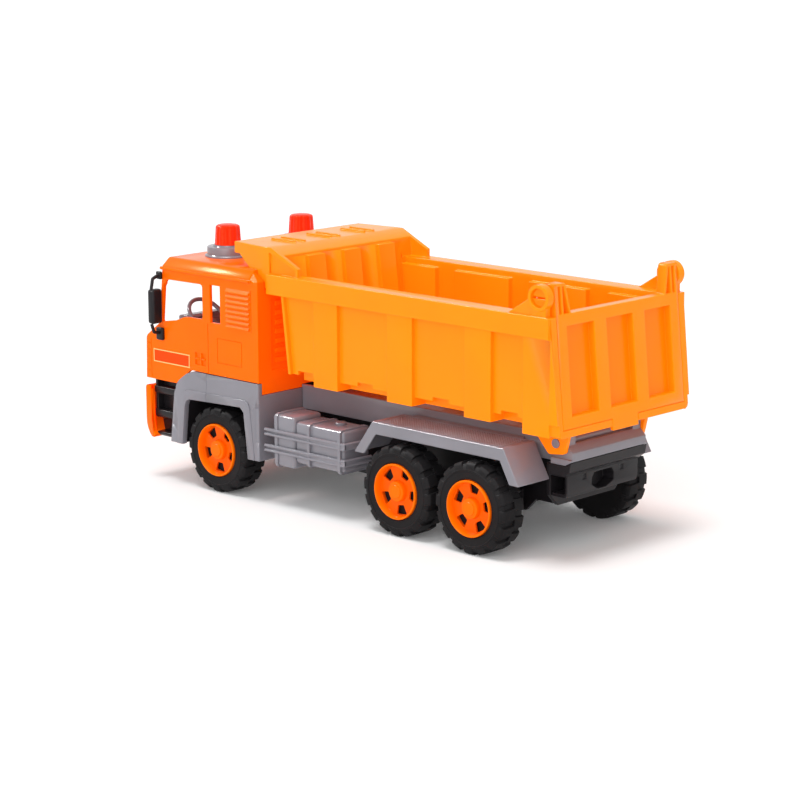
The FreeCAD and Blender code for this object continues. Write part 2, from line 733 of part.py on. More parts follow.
def bed_wall():
    """The left wall of the bed: ribs with panels between them, and a hollow liner that bulges inwards."""
    floor_top = side_bottom + floor_thick
    rib_inside = rib_half - side_wall
    core = inner_half + side_wall
    under_rail = rail_top - side_wall
    mass = side_plate([
        (gate_x(side_bottom), side_bottom), (gate_x(rail_top), rail_top), (head_x(rail_top), rail_top),
        (head_x(side_bottom), side_bottom)], liner_half, rib_half)
    front_end = bed_front - bed_lean - side_wall
    skirt = block(bed_rear, front_end, liner_half, liner_half + side_wall, foot_z, side_bottom + 0.5)
    solids = [mass, skirt]
    cuts = [block(-250.0, head_x(ledge_z) - side_wall, liner_half - 1, inner_half, ledge_z, rail_top + 1)]
    edges = [front_end - 1.0]
    for front, width in [(x, rib_width) for x in rib_fronts] + [(bed_rear + rear_rib_width, rear_rib_width)]:
        back = front - width
        rearmost = back < bed_rear + 1
        foot = sill_bottom if rearmost else foot_z
        solids.append(block(back, front, liner_half, rib_half, foot, side_bottom + 0.5))
        recess_back = -250.0 if rearmost else back + side_wall
        cuts.append(block(recess_back, front - side_wall, liner_half - 1, inner_half, floor_top, ledge_z + 1))
        cuts.append(block(back + side_wall, front - side_wall, core, rib_inside, foot - 1, under_rail))
        edges += [front, back]
    for i in range(0, len(edges) - 1, 2):
        front = edges[i]
        back = edges[i + 1]
        cuts.append(block(back, front, liner_half + side_wall, side_half - side_wall, foot_z - 1, ledge_z - side_wall))
        cuts.append(block(back, front, core, side_half - side_wall, ledge_z - side_wall - 1, under_rail))
        outside = front if i else head_x(rail_top) + 1
        cuts.append(block(back, outside, side_half, rib_half + 1, foot_z - 1, under_rail))
        middle = (front + back) / 2
        cuts.append(block(middle - notch_half, middle + notch_half, side_half - side_wall - 1, rib_half, foot_z, side_bottom + notch_rise))
    return cut(joined(solids), cuts)


def rear_frame():
    """The leaning frame round the door: two thin posts and a sill with a notch for the latch tab."""
    low = sill_bottom
    inner = gate_half + seat_gap
    corner = 3.0
    side_outline = [
        (gate_x(low), low), (gate_x(rail_top), rail_top), (bed_rear + side_wall, rail_top), (bed_rear + side_wall, low)]
    post = side_plate(side_outline, inner, frame_half)
    jamb = block(bed_rear, bed_rear + side_wall, inner, rib_half, low, rail_top)
    rounded = cross_plate([
        (0.0, low), (frame_half, low, corner), (frame_half, rail_top), (0.0, rail_top)], -200.0, bed_rear)
    post = post.common(joined([rounded, block(bed_rear, bed_rear + 10.0, 0.0, 80.0, low, rail_top)]))
    sill = side_plate([
        (gate_x(low), low), (gate_x(sill_top), sill_top), (bed_rear + side_wall, sill_top), (bed_rear + side_wall, low)],
        -inner - 1, inner + 1)
    edge = seat_gap + tab_thick
    notch = side_plate([
        (gate_x(low - 1) - 1, low - 1), (gate_x(sill_top + 1) - 1, sill_top + 1), (gate_x(sill_top + 1) + edge, sill_top + 1),
        (gate_x(low - 1) + edge, low - 1)], -tab_half - seat_gap, tab_half + seat_gap)
    return both_sides(post) + both_sides(jamb) + [cut(sill, [notch])]


def plan_plate(inset, z0, z1):
    """The canopy's outline from above, tapered forwards and moved in by a wall, extruded along Z."""
    half = canopy_half - inset
    tip = canopy_front_half - inset
    front = canopy_front - inset if inset else canopy_front
    points = []
    for x, y in ((30.0, -half), (strip_front, -half), (front, -tip), (front, tip), (strip_front, half), (30.0, half)):
        points.append(Vector(x, y, z0))
    return Part.Face(Part.makePolygon(points + points[:1])).extrude(Vector(0, 0, z1 - z0))


def canopy():
    """The hollow roof over the cab, with a recess and a rim on each cheek and grip ridges on top."""
    join_x = bed_front + 0.5
    low = rail_top - 1.0
    outline = [(join_x, cheek_edge[0][1])] + list(cheek_edge) + [
        (canopy_front, cheek_edge[-1][1]), (canopy_front, canopy_top), (slant_x, canopy_top), (wing_x, wing_z), (wing_x, low),
        (join_x, low)]
    hood = side_plate(outline, -canopy_half, canopy_half).common(plan_plate(0.0, 130.0, 190.0))
    slope = (canopy_top - wing_z) / (slant_x - wing_x)
    lip_x = 57.0
    lip_z = wing_z + (lip_x - wing_x) * slope - canopy_wall
    under = canopy_top - canopy_wall
    room = side_plate([
        (30.0, 130.0), (canopy_front - canopy_wall, 130.0), (canopy_front - canopy_wall, under), (slant_x + 1.0, under),
        (lip_x, lip_z), (lip_x, 190.0), (30.0, 190.0)], -canopy_half, canopy_half)
    room = room.common(plan_plate(cheek_thick, 120.0, 200.0))
    rim_run = 3.0
    rise = rim_run * slope + 2.2
    field = side_plate([
        (wing_x + rim_run, low - 1), (wing_x + rim_run, wing_z - 1.4), (strip_rear - rim_run, canopy_top - rise - 1.0),
        (strip_rear, canopy_top - rise), (strip_rear, low - 1)], canopy_half - cheek_recess, canopy_half + 1)
    head = head_slab(150.0, 172.0, 0.0, side_wall, -canopy_half + cheek_recess, canopy_half - cheek_recess)
    ridges = []
    for middle in ridge_groups:
        for y in (middle - ridge_pitch / 2, middle + ridge_pitch / 2):
            ridges.append(block(70.0, 94.0, y - 0.7, y + 0.7, canopy_top - 0.5, canopy_top + 1.4))
    return [cut(hood, [room] + both_sides(field)), head] + ridges


def ears():
    """The two rings that hold the door's snap pins, each on a gusset and a stem from the rail."""
    inner = gate_half + 1.6
    gusset = side_plate([
        (-146.0, rail_top - 1), (ear_x + 2.0, ear_z + 3.0), (ear_x + 2.0, rail_top - 1)], rail_half - 4.4, rail_half - 2.4)
    ring = rod(ear_x, ear_z, inner, rail_half, ear_radius)
    stem = block(ear_x - 5.6, ear_x + 5.6, inner, rail_half - 1.0, rail_top - 2, ear_z)
    pieces = []
    for shape in (gusset, ring, stem):
        pieces += both_sides(shape)
    return pieces


def dump_body():
    """The open hopper: double side walls, headboard, canopy over the cab, rear frame and hinge lugs."""
    floor = block(gate_x(side_bottom), head_x(side_bottom), -liner_half - 1, liner_half + 1, side_bottom, side_bottom + floor_thick)
    board, pockets = headboard()
    rails = both_sides(block(bed_rear, rail_front, rib_half - side_wall, rail_half, rail_top - side_wall, rail_top))
    rails += both_sides(block(bed_rear, rail_front, rail_half - side_wall, rail_half, rail_bottom, rail_top))
    lug = side_plate([
        (-143.0, side_bottom + 0.5), (-147.0, 81.0, 2.0), (-160.0, 66.7, 3.0), (-173.0, 68.3, 2.0), (-175.6, 78.5),
        (-177.0, side_bottom + 0.5)], lug_half - lug_thick, lug_half)
    edge = gate_slab + seat_gap
    door_space = side_plate([
        (gate_x(sill_top) - 2, sill_top), (gate_x(rail_top + 1) - 2, rail_top + 1), (gate_x(rail_top + 1) + edge, rail_top + 1),
        (gate_x(sill_top) + edge, sill_top)], -gate_half - seat_gap, gate_half + seat_gap)
    shape = joined([floor] + board + both_sides(bed_wall()) + rails + rear_frame() + canopy() + ears() + both_sides(lug))
    holes = [rod(pivot_x, pivot_z, -60.0, 60.0, pivot_radius + fit), rod(ear_x, ear_z, -80.0, 80.0, ear_hole)]
    return cut(shape, holes + pockets + [door_space])


def gate_x(z):
    """Where the tailgate's rear face lies at a height."""
    return gate_top_x - (gate_top - z) * gate_lean


def leaning_slab(z0, z1, depth0, depth1, y0, y1):
    """A slab in the door's leaning plane, between two depths in from its rear face."""
    return side_plate([
        (gate_x(z0) + depth0, z0), (gate_x(z1) + depth0, z1), (gate_x(z1) + depth1, z1), (gate_x(z0) + depth1, z0)], y0, y1)


def door_arm():
    """The door's left arm: a tapered box, open to the rear in two pockets, with a plate round the snap pin."""
    foot = gate_top - 1.0
    top = gate_top + arm_height
    plate_y = gate_half - gate_arm
    box = cross_plate([(arm_foot_y, foot), (gate_half, foot), (gate_half, top, 2.0), (arm_top_y, top, 2.0)], -200.0, -160.0)
    box = box.common(leaning_slab(foot, top, 0.0, gate_slab, arm_foot_y - 1, gate_half + 1))
    shelf = top - arm_wall
    pocket = cross_plate([
        (arm_foot_y + arm_wall, gate_top), (arm_rib[0], gate_top), (arm_rib[0], shelf), (arm_top_y + arm_wall, shelf)], -200.0, -160.0)
    slim = cross_plate([(arm_rib[1], gate_top), (plate_y, gate_top), (plate_y, shelf), (arm_rib[1], shelf)], -200.0, -160.0)
    depth = leaning_slab(gate_top - 2, top + 1, -3.0, arm_pocket, 40.0, 62.0)
    plate = side_plate([
        (gate_x(foot), foot), (gate_x(top), top, 2.0), (ear_x, top - 0.6, 2.0), (ear_x + 6.6, ear_z + 4.0, 3.0),
        (ear_x + 6.6, ear_z - 4.0, 3.0), (gate_x(foot) + gate_slab, foot)], plate_y, gate_half)
    pin = rod(ear_x, ear_z, gate_half - 0.5, rail_half - 2.0, ear_hole - fit)
    slot = block(ear_x - 8, ear_x + 8, gate_half + 1.0, rail_half, ear_z - 0.5, ear_z + 0.5)
    return [cut(box, [pocket.common(depth), slim.common(depth)]), plate, cut(pin, [slot])]


def tailgate():
    """The leaning rear door with three deep fields between ribs, hung from two arms on snap pins."""
    slab = leaning_slab(gate_bottom, gate_top, 0.0, gate_slab, -gate_half, gate_half)
    fields = []
    for i in (-1, 0, 1):
        y = i * field_pitch
        fields.append(leaning_slab(field_bottom, field_top, -1.0, field_depth, y - field_half, y + field_half))
    tab = leaning_slab(tab_bottom, gate_bottom + 1.0, 0.0, tab_thick, -tab_half, tab_half)
    arms = []
    for shape in door_arm():
        arms += both_sides(shape)
    return joined([cut(slab, fields), tab] + arms)


wheel_places = list(zip(("front", "middle", "rear"), (front_axle_x, middle_axle_x, rear_axle_x), window_turns))
parts = {
    "underframe": underframe(),
    "chassis_deck": chassis_deck(),
    "bed_pin": bed_pin(),
    "rear_bumper": rear_bumper(),
    "cab_shell": cab_shell(),
    "cab_base": cab_base(),
    "front_bumper": front_bumper(),
    "interior": interior(),
    "steering_wheel": steering_wheel(),
    "dump_body": dump_body(),
    "tailgate": tailgate(),
}
for side, word in ((1, "left"), (-1, "right")):
    parts["fender_" + word] = fender(side)
    parts["tank_" + word] = tank(side)
    parts["steps_" + word] = steps(side)
    parts["mirror_" + word] = mirror(side)
    parts["beacon_base_" + word] = beacon_base(side)
    parts["beacon_cap_" + word] = beacon_cap(side)
    for place, x, turn in wheel_places:
        parts["tyre_" + place + "_" + word] = tyre(x, side)
        parts["rim_" + place + "_" + word] = rim(x, side, turn)
for place, x, turn in wheel_places:
    parts["axle_" + place] = axle(x)

os.makedirs("parts", exist_ok=True)
for name, shape in parts.items():
    shape.exportStep("parts/" + name + ".step")
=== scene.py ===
import bmesh
import bpy
import json
import math
from mathutils import Matrix, Vector


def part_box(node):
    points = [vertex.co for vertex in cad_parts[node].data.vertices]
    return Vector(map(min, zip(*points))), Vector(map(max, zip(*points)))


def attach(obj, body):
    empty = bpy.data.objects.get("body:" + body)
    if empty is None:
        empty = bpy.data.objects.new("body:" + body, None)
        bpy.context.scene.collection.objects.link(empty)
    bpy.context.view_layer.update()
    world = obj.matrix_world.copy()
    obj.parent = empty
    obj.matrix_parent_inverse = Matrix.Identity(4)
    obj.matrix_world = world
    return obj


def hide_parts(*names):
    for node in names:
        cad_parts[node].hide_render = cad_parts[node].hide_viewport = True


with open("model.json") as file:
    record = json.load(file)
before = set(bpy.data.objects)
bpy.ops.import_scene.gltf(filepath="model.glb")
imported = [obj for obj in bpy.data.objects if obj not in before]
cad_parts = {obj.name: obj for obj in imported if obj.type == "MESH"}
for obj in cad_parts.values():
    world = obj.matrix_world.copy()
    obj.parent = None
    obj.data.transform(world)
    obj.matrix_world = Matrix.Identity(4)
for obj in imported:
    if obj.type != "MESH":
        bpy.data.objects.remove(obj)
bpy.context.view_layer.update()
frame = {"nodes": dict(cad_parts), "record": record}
nodes = frame["nodes"]
print("frame loaded:", len(nodes), "nodes")

mm = 0.001
bodyOf = {}
for bodyName, members in frame["record"]["behaviour"]["bodies"].items():
    for member in members:
        bodyOf[member] = bodyName


# Shader graphs: a wire is one output socket, and sums and products of wires add math nodes.

class Wire:
    def __init__(self, graph, socket):
        self.graph = graph
        self.socket = socket

    def combine(self, operation, first, second):
        return self.graph.add("ShaderNodeMath", {"operation": operation}, {0: first, 1: second})

    def __add__(self, other):
        return self.combine("ADD", self, other)

    def __radd__(self, other):
        return self.combine("ADD", other, self)

    def __sub__(self, other):
        return self.combine("SUBTRACT", self, other)

    def __mul__(self, other):
        return self.combine("MULTIPLY", self, other)


class Graph:
    def __init__(self, tree):
        self.tree = tree
        tree.nodes.clear()

    def add(self, kind, settings, inputs, output=0):
        node = self.tree.nodes.new(kind)
        for key, value in settings.items():
            setattr(node, key, value)
        for key, value in inputs.items():
            if isinstance(value, Wire):
                self.tree.links.new(value.socket, node.inputs[key])
            else:
                node.inputs[key].default_value = value
        return Wire(self, node.outputs[output]) if node.outputs else None

    def noise(self, coords, scale, detail=2.0):
        return self.add("ShaderNodeTexNoise", {}, {"Vector": coords, "Scale": scale, "Detail": detail}, "Fac")

    def steps(self, wire, low, high):
        return self.add(
            "ShaderNodeMapRange", {"clamp": True}, {"Value": wire, "From Min": low, "From Max": high})

    def blend(self, factor, first, second):
        node = self.tree.nodes.new("ShaderNodeMix")
        node.data_type = "RGBA"
        for index, value in ((0, factor), (6, first), (7, second)):
            if isinstance(value, Wire):
                self.tree.links.new(value.socket, node.inputs[index])
            else:
                node.inputs[index].default_value = value
        return Wire(self, node.outputs[2])

    def seen(self):     # 1 for what the camera sees straight, mirrored or through glass
        rays = self.tree.nodes.new("ShaderNodeLightPath").outputs
        straight, mirrored, through = (
            Wire(self, rays[name]) for name in ("Is Camera Ray", "Is Glossy Ray", "Is Transmission Ray"))
        return self.steps(straight + mirrored + through, 0.0, 1.0)


def rgba(color):
    return (color[0], color[1], color[2], 1.0)


def darker(color, share):
    return (color[0] * share, color[1] * share, color[2] * share, 1.0)


white = (1.0, 1.0, 1.0, 1.0)
black = (0.0, 0.0, 0.0, 1.0)

# Moulded materials: colour, shade of the faint flow marks, roughness and its spread, bump and grain per metre,
# surface reflection, and a painted glow, an emission that lifts the shaded faces in place of light that has gone
# through the thin plastic. Faces sunk along a direction, from one depth to another, get a painted shade colour.
finishes = {
    "cab_orange": {
        "color": (0.99, 0.158, 0.001), "shade": 0.93, "rough": 0.20, "spread": 0.08, "bump": 0.06, "grain": 900.0,
        "shine": 0.16, "tint": (1.0, 0.55, 0.12, 1.0), "paintedGlow": (1.0, 0.05, 0.0, 1.0), "paintedGlowLevel": 0.22},
    "bed_orange": {
        "color": (1.00, 0.278, 0.004), "shade": 0.95, "rough": 0.22, "spread": 0.08, "bump": 0.06, "grain": 800.0,
        "shine": 0.20, "tint": (1.0, 0.75, 0.35, 1.0), "paintedGlow": (1.0, 0.13, 0.0, 1.0), "paintedGlowLevel": 0.25},
    "rim_orange": {
        "color": (0.99, 0.180, 0.001), "shade": 0.94, "rough": 0.24, "spread": 0.08, "bump": 0.06, "grain": 1100.0,
        "shine": 0.14, "tint": (1.0, 0.6, 0.2, 1.0), "paintedGlow": (1.0, 0.04, 0.0, 1.0), "paintedGlowLevel": 0.08,
        # painted shade: the rim's dish, sunk between these depths across the wheel, is coloured darker
        "across": (0.0, 1.0, 0.0), "recess": (0.0685, 0.0732), "deep": (0.88, 0.115, 0.0)},
    "grey_plastic": {
        "color": (0.245, 0.240, 0.272), "shade": 0.93, "rough": 0.20, "spread": 0.08, "bump": 0.05, "grain": 1000.0,
        "shine": 0.50, "tint": white, "paintedGlow": black, "paintedGlowLevel": 0.0},
    "black_plastic": {
        "color": (0.016, 0.014, 0.016), "shade": 0.75, "rough": 0.34, "spread": 0.10, "bump": 0.10, "grain": 1200.0,
        "shine": 0.22, "tint": white, "paintedGlow": black, "paintedGlowLevel": 0.0},
    "tyre": {
        "color": (0.014, 0.013, 0.014), "shade": 0.70, "rough": 0.50, "spread": 0.14, "bump": 0.20, "grain": 1500.0,
        "shine": 0.10, "tint": white, "paintedGlow": black, "paintedGlowLevel": 0.0},
    "beacon_red": {
        "color": (0.95, 0.022, 0.001), "shade": 0.75, "rough": 0.12, "spread": 0.06, "bump": 0.04, "grain": 700.0,
        "shine": 0.30, "tint": (1.0, 0.45, 0.2, 1.0), "paintedGlow": (1.0, 0.03, 0.0, 1.0), "paintedGlowLevel": 0.14},
}
# the door leans, and its sunk fields, which lie in from its rear face, are given painted shade
finishes["door_orange"] = dict(
    finishes["bed_orange"], across=(1.0, 0.0, -0.0954), recess=(0.1934, 0.1974), deep=(0.97, 0.225, 0.001))
materials = {}


def plasticMaterial(name, look):
    material = bpy.data.materials.new(name)
    material.use_nodes = True
    graph = Graph(material.node_tree)
    coords = graph.add("ShaderNodeTexCoord", {}, {}, "Object")
    cloud = graph.steps(graph.noise(coords, 28.0, 3.0), 0.35, 0.65)
    color = graph.blend(cloud, rgba(look["color"]), darker(look["color"], look["shade"]))
    # painted shade: faces sunk between the two depths along the given direction take the darker colour
    if "recess" in look:
        along = graph.add(
            "ShaderNodeVectorMath", {"operation": "DOT_PRODUCT"}, {0: coords, 1: look["across"]}, "Value")
        depth = graph.add("ShaderNodeMath", {"operation": "ABSOLUTE"}, {0: along})
        color = graph.blend(graph.steps(depth, *look["recess"]), rgba(look["deep"]), color)
    rough = look["rough"] + (graph.noise(coords, 120.0, 3.0) - 0.5) * look["spread"]
    grain = graph.noise(coords, look["grain"], 2.0)
    bump = graph.add("ShaderNodeBump", {}, {"Strength": look["bump"], "Distance": 0.0002, "Height": grain}, "Normal")
    # painted glow: the emission lifts shaded faces toward the lit colour
    shader = graph.add("ShaderNodeBsdfPrincipled", {}, {
        "Base Color": color, "Roughness": rough, "Normal": bump, "Specular IOR Level": look["shine"],
        "Specular Tint": look["tint"], "Emission Color": look["paintedGlow"], "Emission Strength": look["paintedGlowLevel"]})
    graph.add("ShaderNodeOutputMaterial", {}, {"Surface": shader})
    return material


def steelMaterial():
    material = bpy.data.materials.new("steelLook")
    material.use_nodes = True
    graph = Graph(material.node_tree)
    coords = graph.add("ShaderNodeTexCoord", {}, {}, "Object")
    streaks = graph.noise(coords, 500.0, 3.0)
    color = graph.blend(graph.steps(streaks, 0.3, 0.7), (0.56, 0.56, 0.57, 1.0), (0.42, 0.42, 0.43, 1.0))
    shader = graph.add("ShaderNodeBsdfPrincipled", {}, {
        "Base Color": color, "Roughness": 0.26 + streaks * 0.14, "Metallic": 1.0})
    graph.add("ShaderNodeOutputMaterial", {}, {"Surface": shader})
    return material


for slotName, look in finishes.items():
    materials[slotName] = plasticMaterial(slotName + "Look", look)
materials["steel"] = steelMaterial()
plateField = plasticMaterial("plateFieldLook", dict(finishes["cab_orange"], color=(0.95, 0.060, 0.002)))
plateEdge = plasticMaterial("plateEdgeLook", dict(finishes["bed_orange"], color=(1.0, 0.62, 0.22)))
slotOf = {part["node"]: part["material_slot"] for part in frame["record"]["subparts"]}
print("materials made:", len(materials))


# Mesh helpers, with sizes in millimetres

def addObject(name, mesh):
    made = bpy.data.objects.new(name, mesh)
    bpy.context.scene.collection.objects.link(made)
    return made


def closeWork(work, name):
    mesh = bpy.data.meshes.new(name)
    bmesh.ops.recalc_face_normals(work, faces=work.faces)
    work.to_mesh(mesh)
    work.free()
    return mesh


def roundBox(work, x0, x1, y0, y1, z0, z1, radius, segments=3):
    middle = Vector(((x0 + x1) / 2, (y0 + y1) / 2, (z0 + z1) / 2)) * mm
    spread = Matrix.Diagonal(Vector(((x1 - x0) * mm, (y1 - y0) * mm, (z1 - z0) * mm, 1.0)))
    made = bmesh.ops.create_cube(work, size=1.0, matrix=Matrix.Translation(middle) @ spread)
    if radius:
        edges = {edge for vert in made["verts"] for edge in vert.link_edges}
        bmesh.ops.bevel(
            work, geom=list(edges), offset=radius * mm, offset_type="OFFSET", segments=segments, profile=0.5,
            affect="EDGES")


def boxesMesh(name, boxes, radius=0.0, segments=1):
    work = bmesh.new()
    for box in boxes:
        roundBox(work, *box, radius, segments)
    return closeWork(work, name)


def bothSides(boxes):
    return boxes + [(x0, x1, -y1, -y0, z0, z1) for x0, x1, y0, y1, z0, z1 in boxes]


def frameBars(a0, a1, b0, b1, width, gap=0.0):
    inset = width + gap
    return [
        (a0, a1, b0, b0 + width), (a0, a1, b1 - width, b1),
        (a0, a0 + width, b0 + inset, b1 - inset), (a1 - width, a1, b0 + inset, b1 - inset)]


def roundedRect(a0, a1, b0, b1, radius, steps=5):
    points = []
    middles = (
        (a1 - radius, b1 - radius), (a0 + radius, b1 - radius),
        (a0 + radius, b0 + radius), (a1 - radius, b0 + radius))
    for start, (a, b) in zip((0, 90, 180, 270), middles):
        for i in range(steps + 1):
            turn = math.radians(start + 90.0 * i / steps)
            points.append((a + radius * math.cos(turn), b + radius * math.sin(turn)))
    return points


def prism(work, outline, axis, low, high):
    layers = []
    for level in (low, high):
        layer = []
        for a, b in outline:
            spot = {"X": (level, a, b), "Y": (a, level, b), "Z": (a, b, level)}[axis]
            layer.append(work.verts.new(Vector(spot) * mm))
        layers.append(layer)
    caps = [work.faces.new(layers[0][::-1]), work.faces.new(layers[1])]
    count = len(outline)
    for i in range(count):
        following = (i + 1) % count
        work.faces.new((layers[0][i], layers[0][following], layers[1][following], layers[1][i]))
    bmesh.ops.triangulate(work, faces=caps, ngon_method="EAR_CLIP")


def prismMesh(name, outline, axis, low, high):
    work = bmesh.new()
    prism(work, outline, axis, low, high)
    return closeWork(work, name)


def latheMesh(name, profile, sides, axis="Y", waves=0, waveDepth=0.0):
    work = bmesh.new()
    rings = []
    for radius, height in profile:
        ring = []
        for i in range(sides if radius > 0 else 1):
            turn = 2 * math.pi * i / sides
            reach = radius * (1.0 + waveDepth * math.cos(waves * turn))
            spot = (reach * math.cos(turn), height, reach * math.sin(turn))
            ring.append(work.verts.new(Vector(spot if axis == "Y" else (spot[0], spot[2], height)) * mm))
        rings.append(ring)
    for low, high in zip(rings, rings[1:] + rings[:1]):
        if len(low) == 1 and len(high) == 1:
            continue
        for i in range(sides):
            corners = []
            for ring, step in ((low, 0), (low, 1), (high, 1), (high, 0)):
                corner = ring[(i + step) % len(ring)]
                if corner not in corners:
                    corners.append(corner)
            work.faces.new(corners)
    return closeWork(work, name)


def tubeMesh(name, points, radius):
    curve = bpy.data.curves.new(name, "CURVE")
    curve.dimensions = "3D"
    curve.bevel_depth = radius * mm
    curve.bevel_resolution = 3
    curve.use_fill_caps = True
    spline = curve.splines.new("POLY")
    spline.points.add(len(points) - 1)
    for spot, point in zip(spline.points, points):
        spot.co = (point[0] * mm, point[1] * mm, point[2] * mm, 1.0)
    holder = addObject(name, curve)
    mesh = evaluatedMesh(holder)
    bpy.data.objects.remove(holder)
    return mesh


def filleted(points, radius, steps=4):
    result = [Vector(points[0])]
    for before, here, after in zip(points, points[1:], points[2:]):
        here = Vector(here)
        u = (Vector(before) - here).normalized()
        v = (Vector(after) - here).normalized()
        half = u.angle(v) / 2
        centre = here + (u + v).normalized() * (radius / math.sin(half))
        first = here + u * (radius / math.tan(half)) - centre
        last = here + v * (radius / math.tan(half)) - centre
        for i in range(steps + 1):
            result.append(centre + first.slerp(last, i / steps))
    result.append(Vector(points[-1]))
    return result


def evaluatedMesh(holder):
    bpy.context.view_layer.update()
    return bpy.data.meshes.new_from_object(holder.evaluated_get(bpy.context.evaluated_depsgraph_get()))


def carvedMesh(holder, cutters):     # what is left of an object, its modifiers applied, when a mesh is cut away
    tool = addObject(holder.name + "Cutter", cutters)
    hole = holder.modifiers.new("holes", "BOOLEAN")
    hole.solver = "EXACT"
    hole.object = tool
    mesh = evaluatedMesh(holder)
    bpy.data.objects.remove(tool)
    return mesh


def joined(name, meshes, matrix=None):
    work = bmesh.new()
    for mesh in meshes:
        work.from_mesh(mesh)
    if matrix is not None:
        bmesh.ops.transform(work, matrix=matrix, verts=work.verts)
    bmesh.ops.remove_doubles(work, verts=work.verts, dist=0.0005 * mm)
    return closeWork(work, name)


flipY = Matrix.Diagonal(Vector((1.0, -1.0, 1.0, 1.0)))


def place(name, mesh, body, slotName, replaced=(), look=None, angle=32.0):
    mesh.materials.clear()
    mesh.materials.append(look or materials[slotName])
    mesh.shade_smooth()
    mesh.set_sharp_from_angle(angle=math.radians(angle))
    piece = addObject(name, mesh)
    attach(piece, body)
    if replaced:
        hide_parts(*replaced)
    return piece


def placePair(name, mesh, body, slotName, replaced="", look=None):
    for side, turn in (("left", Matrix.Identity(4)), ("right", flipY)):
        nodeNames = (replaced + "_" + side,) if replaced else ()
        place(name + side.capitalize(), joined(name + side, [mesh], turn), body, slotName, nodeNames, look)


# Trees of geometry nodes: a grid of copies in two directions, and a ring of copies about an axle

def newTree(name, sockets):
    tree = bpy.data.node_groups.new(name, "GeometryNodeTree")
    for label, kind in sockets.items():
        tree.interface.new_socket(name=label, in_out="INPUT", socket_type=kind)
    tree.interface.new_socket(name="Result", in_out="OUTPUT", socket_type="NodeSocketGeometry")
    graph = Graph(tree)
    given = tree.nodes.new("NodeGroupInput").outputs
    return tree, graph, {label: Wire(graph, given[label]) for label in sockets}


def closeTree(graph, copies, finish):
    whole = graph.add("GeometryNodeRealizeInstances", {}, {"Geometry": copies})
    done = graph.add("GeometryNodeSetMaterial", {}, {"Geometry": whole, "Material": finish})
    graph.add("NodeGroupOutput", {}, {"Result": done})


def gridTree():
    tree, graph, given = newTree("gridOfCopies", {
        "Part": "NodeSocketGeometry", "Count": "NodeSocketInt", "Step": "NodeSocketVector", "Rows": "NodeSocketInt",
        "Row Step": "NodeSocketVector", "Finish": "NodeSocketMaterial"})
    offset = {"mode": "OFFSET"}
    line = graph.add("GeometryNodeMeshLine", offset, {"Count": given["Count"], "Offset": given["Step"]})
    rows = graph.add("GeometryNodeMeshLine", offset, {"Count": given["Rows"], "Offset": given["Row Step"]})
    row = graph.add("GeometryNodeInstanceOnPoints", {}, {"Points": line, "Instance": given["Part"]})
    copies = graph.add("GeometryNodeInstanceOnPoints", {}, {"Points": rows, "Instance": row})
    closeTree(graph, copies, given["Finish"])
    return tree


def ringTree():
    tree, graph, given = newTree("ringOfCopies", {
        "Part": "NodeSocketGeometry", "Count": "NodeSocketInt", "Phase": "NodeSocketFloat",
        "Finish": "NodeSocketMaterial"})
    spots = graph.add(
        "GeometryNodeMeshLine", {"mode": "OFFSET"}, {"Count": given["Count"], "Offset": (0.0, 0.0, 0.0)})
    index = graph.add("GeometryNodeInputIndex", {}, {})
    share = graph.add("ShaderNodeMath", {"operation": "DIVIDE"}, {0: 2 * math.pi, 1: given["Count"]})
    turn = graph.add("ShaderNodeCombineXYZ", {}, {"Y": index * share + given["Phase"]})
    copies = graph.add(
        "GeometryNodeInstanceOnPoints", {}, {"Points": spots, "Instance": given["Part"], "Rotation": turn})
    closeTree(graph, copies, given["Finish"])
    return tree


def grown(mesh, tree, values):
    holder = addObject(mesh.name + "Grown", mesh)
    grow = holder.modifiers.new("grow", "NODES")
    grow.node_group = tree
    for item in tree.interface.items_tree:
        if item.in_out == "INPUT" and item.name in values:
            grow[item.identifier] = values[item.name]
    made = evaluatedMesh(holder)
    bpy.data.objects.remove(holder)
    return made


gridCopies = gridTree()
ringCopies = ringTree()


def stacked(mesh, count, pitch, finish):     # copies of a mesh above each other
    step = (0.0, 0.0, pitch * mm)
    return grown(mesh, gridCopies, {"Count": count, "Step": step, "Rows": 1, "Finish": materials[finish]})


def ringed(mesh, count, phase, finish):
    return grown(mesh, ringCopies, {"Count": count, "Phase": phase, "Finish": materials[finish]})


# Fine copies of the moulded nodes, with small rounded edges

def mergedMesh(node):
    work = bmesh.new()
    work.from_mesh(nodes[node].data)
    bmesh.ops.remove_doubles(work, verts=work.verts, dist=0.002 * mm)
    bmesh.ops.dissolve_limit(work, angle_limit=math.radians(0.5), verts=work.verts, edges=work.edges)
    bmesh.ops.connect_verts_concave(work, faces=work.faces)
    return closeWork(work, node + "Fine")


def softEdges(piece, width, angle=35.0):
    piece.data.shade_smooth()
    piece.data.set_sharp_from_angle(angle=math.radians(angle))
    bevel = piece.modifiers.new("softEdges", "BEVEL")
    bevel.width = width * mm
    bevel.segments = 3
    bevel.limit_method = "ANGLE"
    bevel.angle_limit = math.radians(angle)
    bevel.harden_normals = True
    bevel.use_clamp_overlap = False


def softened(mesh, width, cutters=None):     # rounded edges and holes on a loose mesh
    holder = addObject(mesh.name + "Soft", mesh)
    softEdges(holder, width)
    holder.modifiers["softEdges"].use_clamp_overlap = True
    made = carvedMesh(holder, cutters) if cutters else evaluatedMesh(holder)
    bpy.data.objects.remove(holder)
    return made


def finePiece(node, width, cutters=None):
    piece = addObject(node + "Shape", mergedMesh(node))
    piece.data.materials.append(materials["door_orange" if node == "tailgate" else slotOf[node]])
    softEdges(piece, width)
    if cutters:
        mesh = carvedMesh(piece, cutters)
        piece.modifiers.clear()
        piece.data = mesh
        mesh.set_sharp_from_angle(angle=math.radians(35.0))
        evened = piece.modifiers.new("evenedNormals", "WEIGHTED_NORMAL")
        evened.keep_sharp = True
    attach(piece, bodyOf[node])
    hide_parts(node)


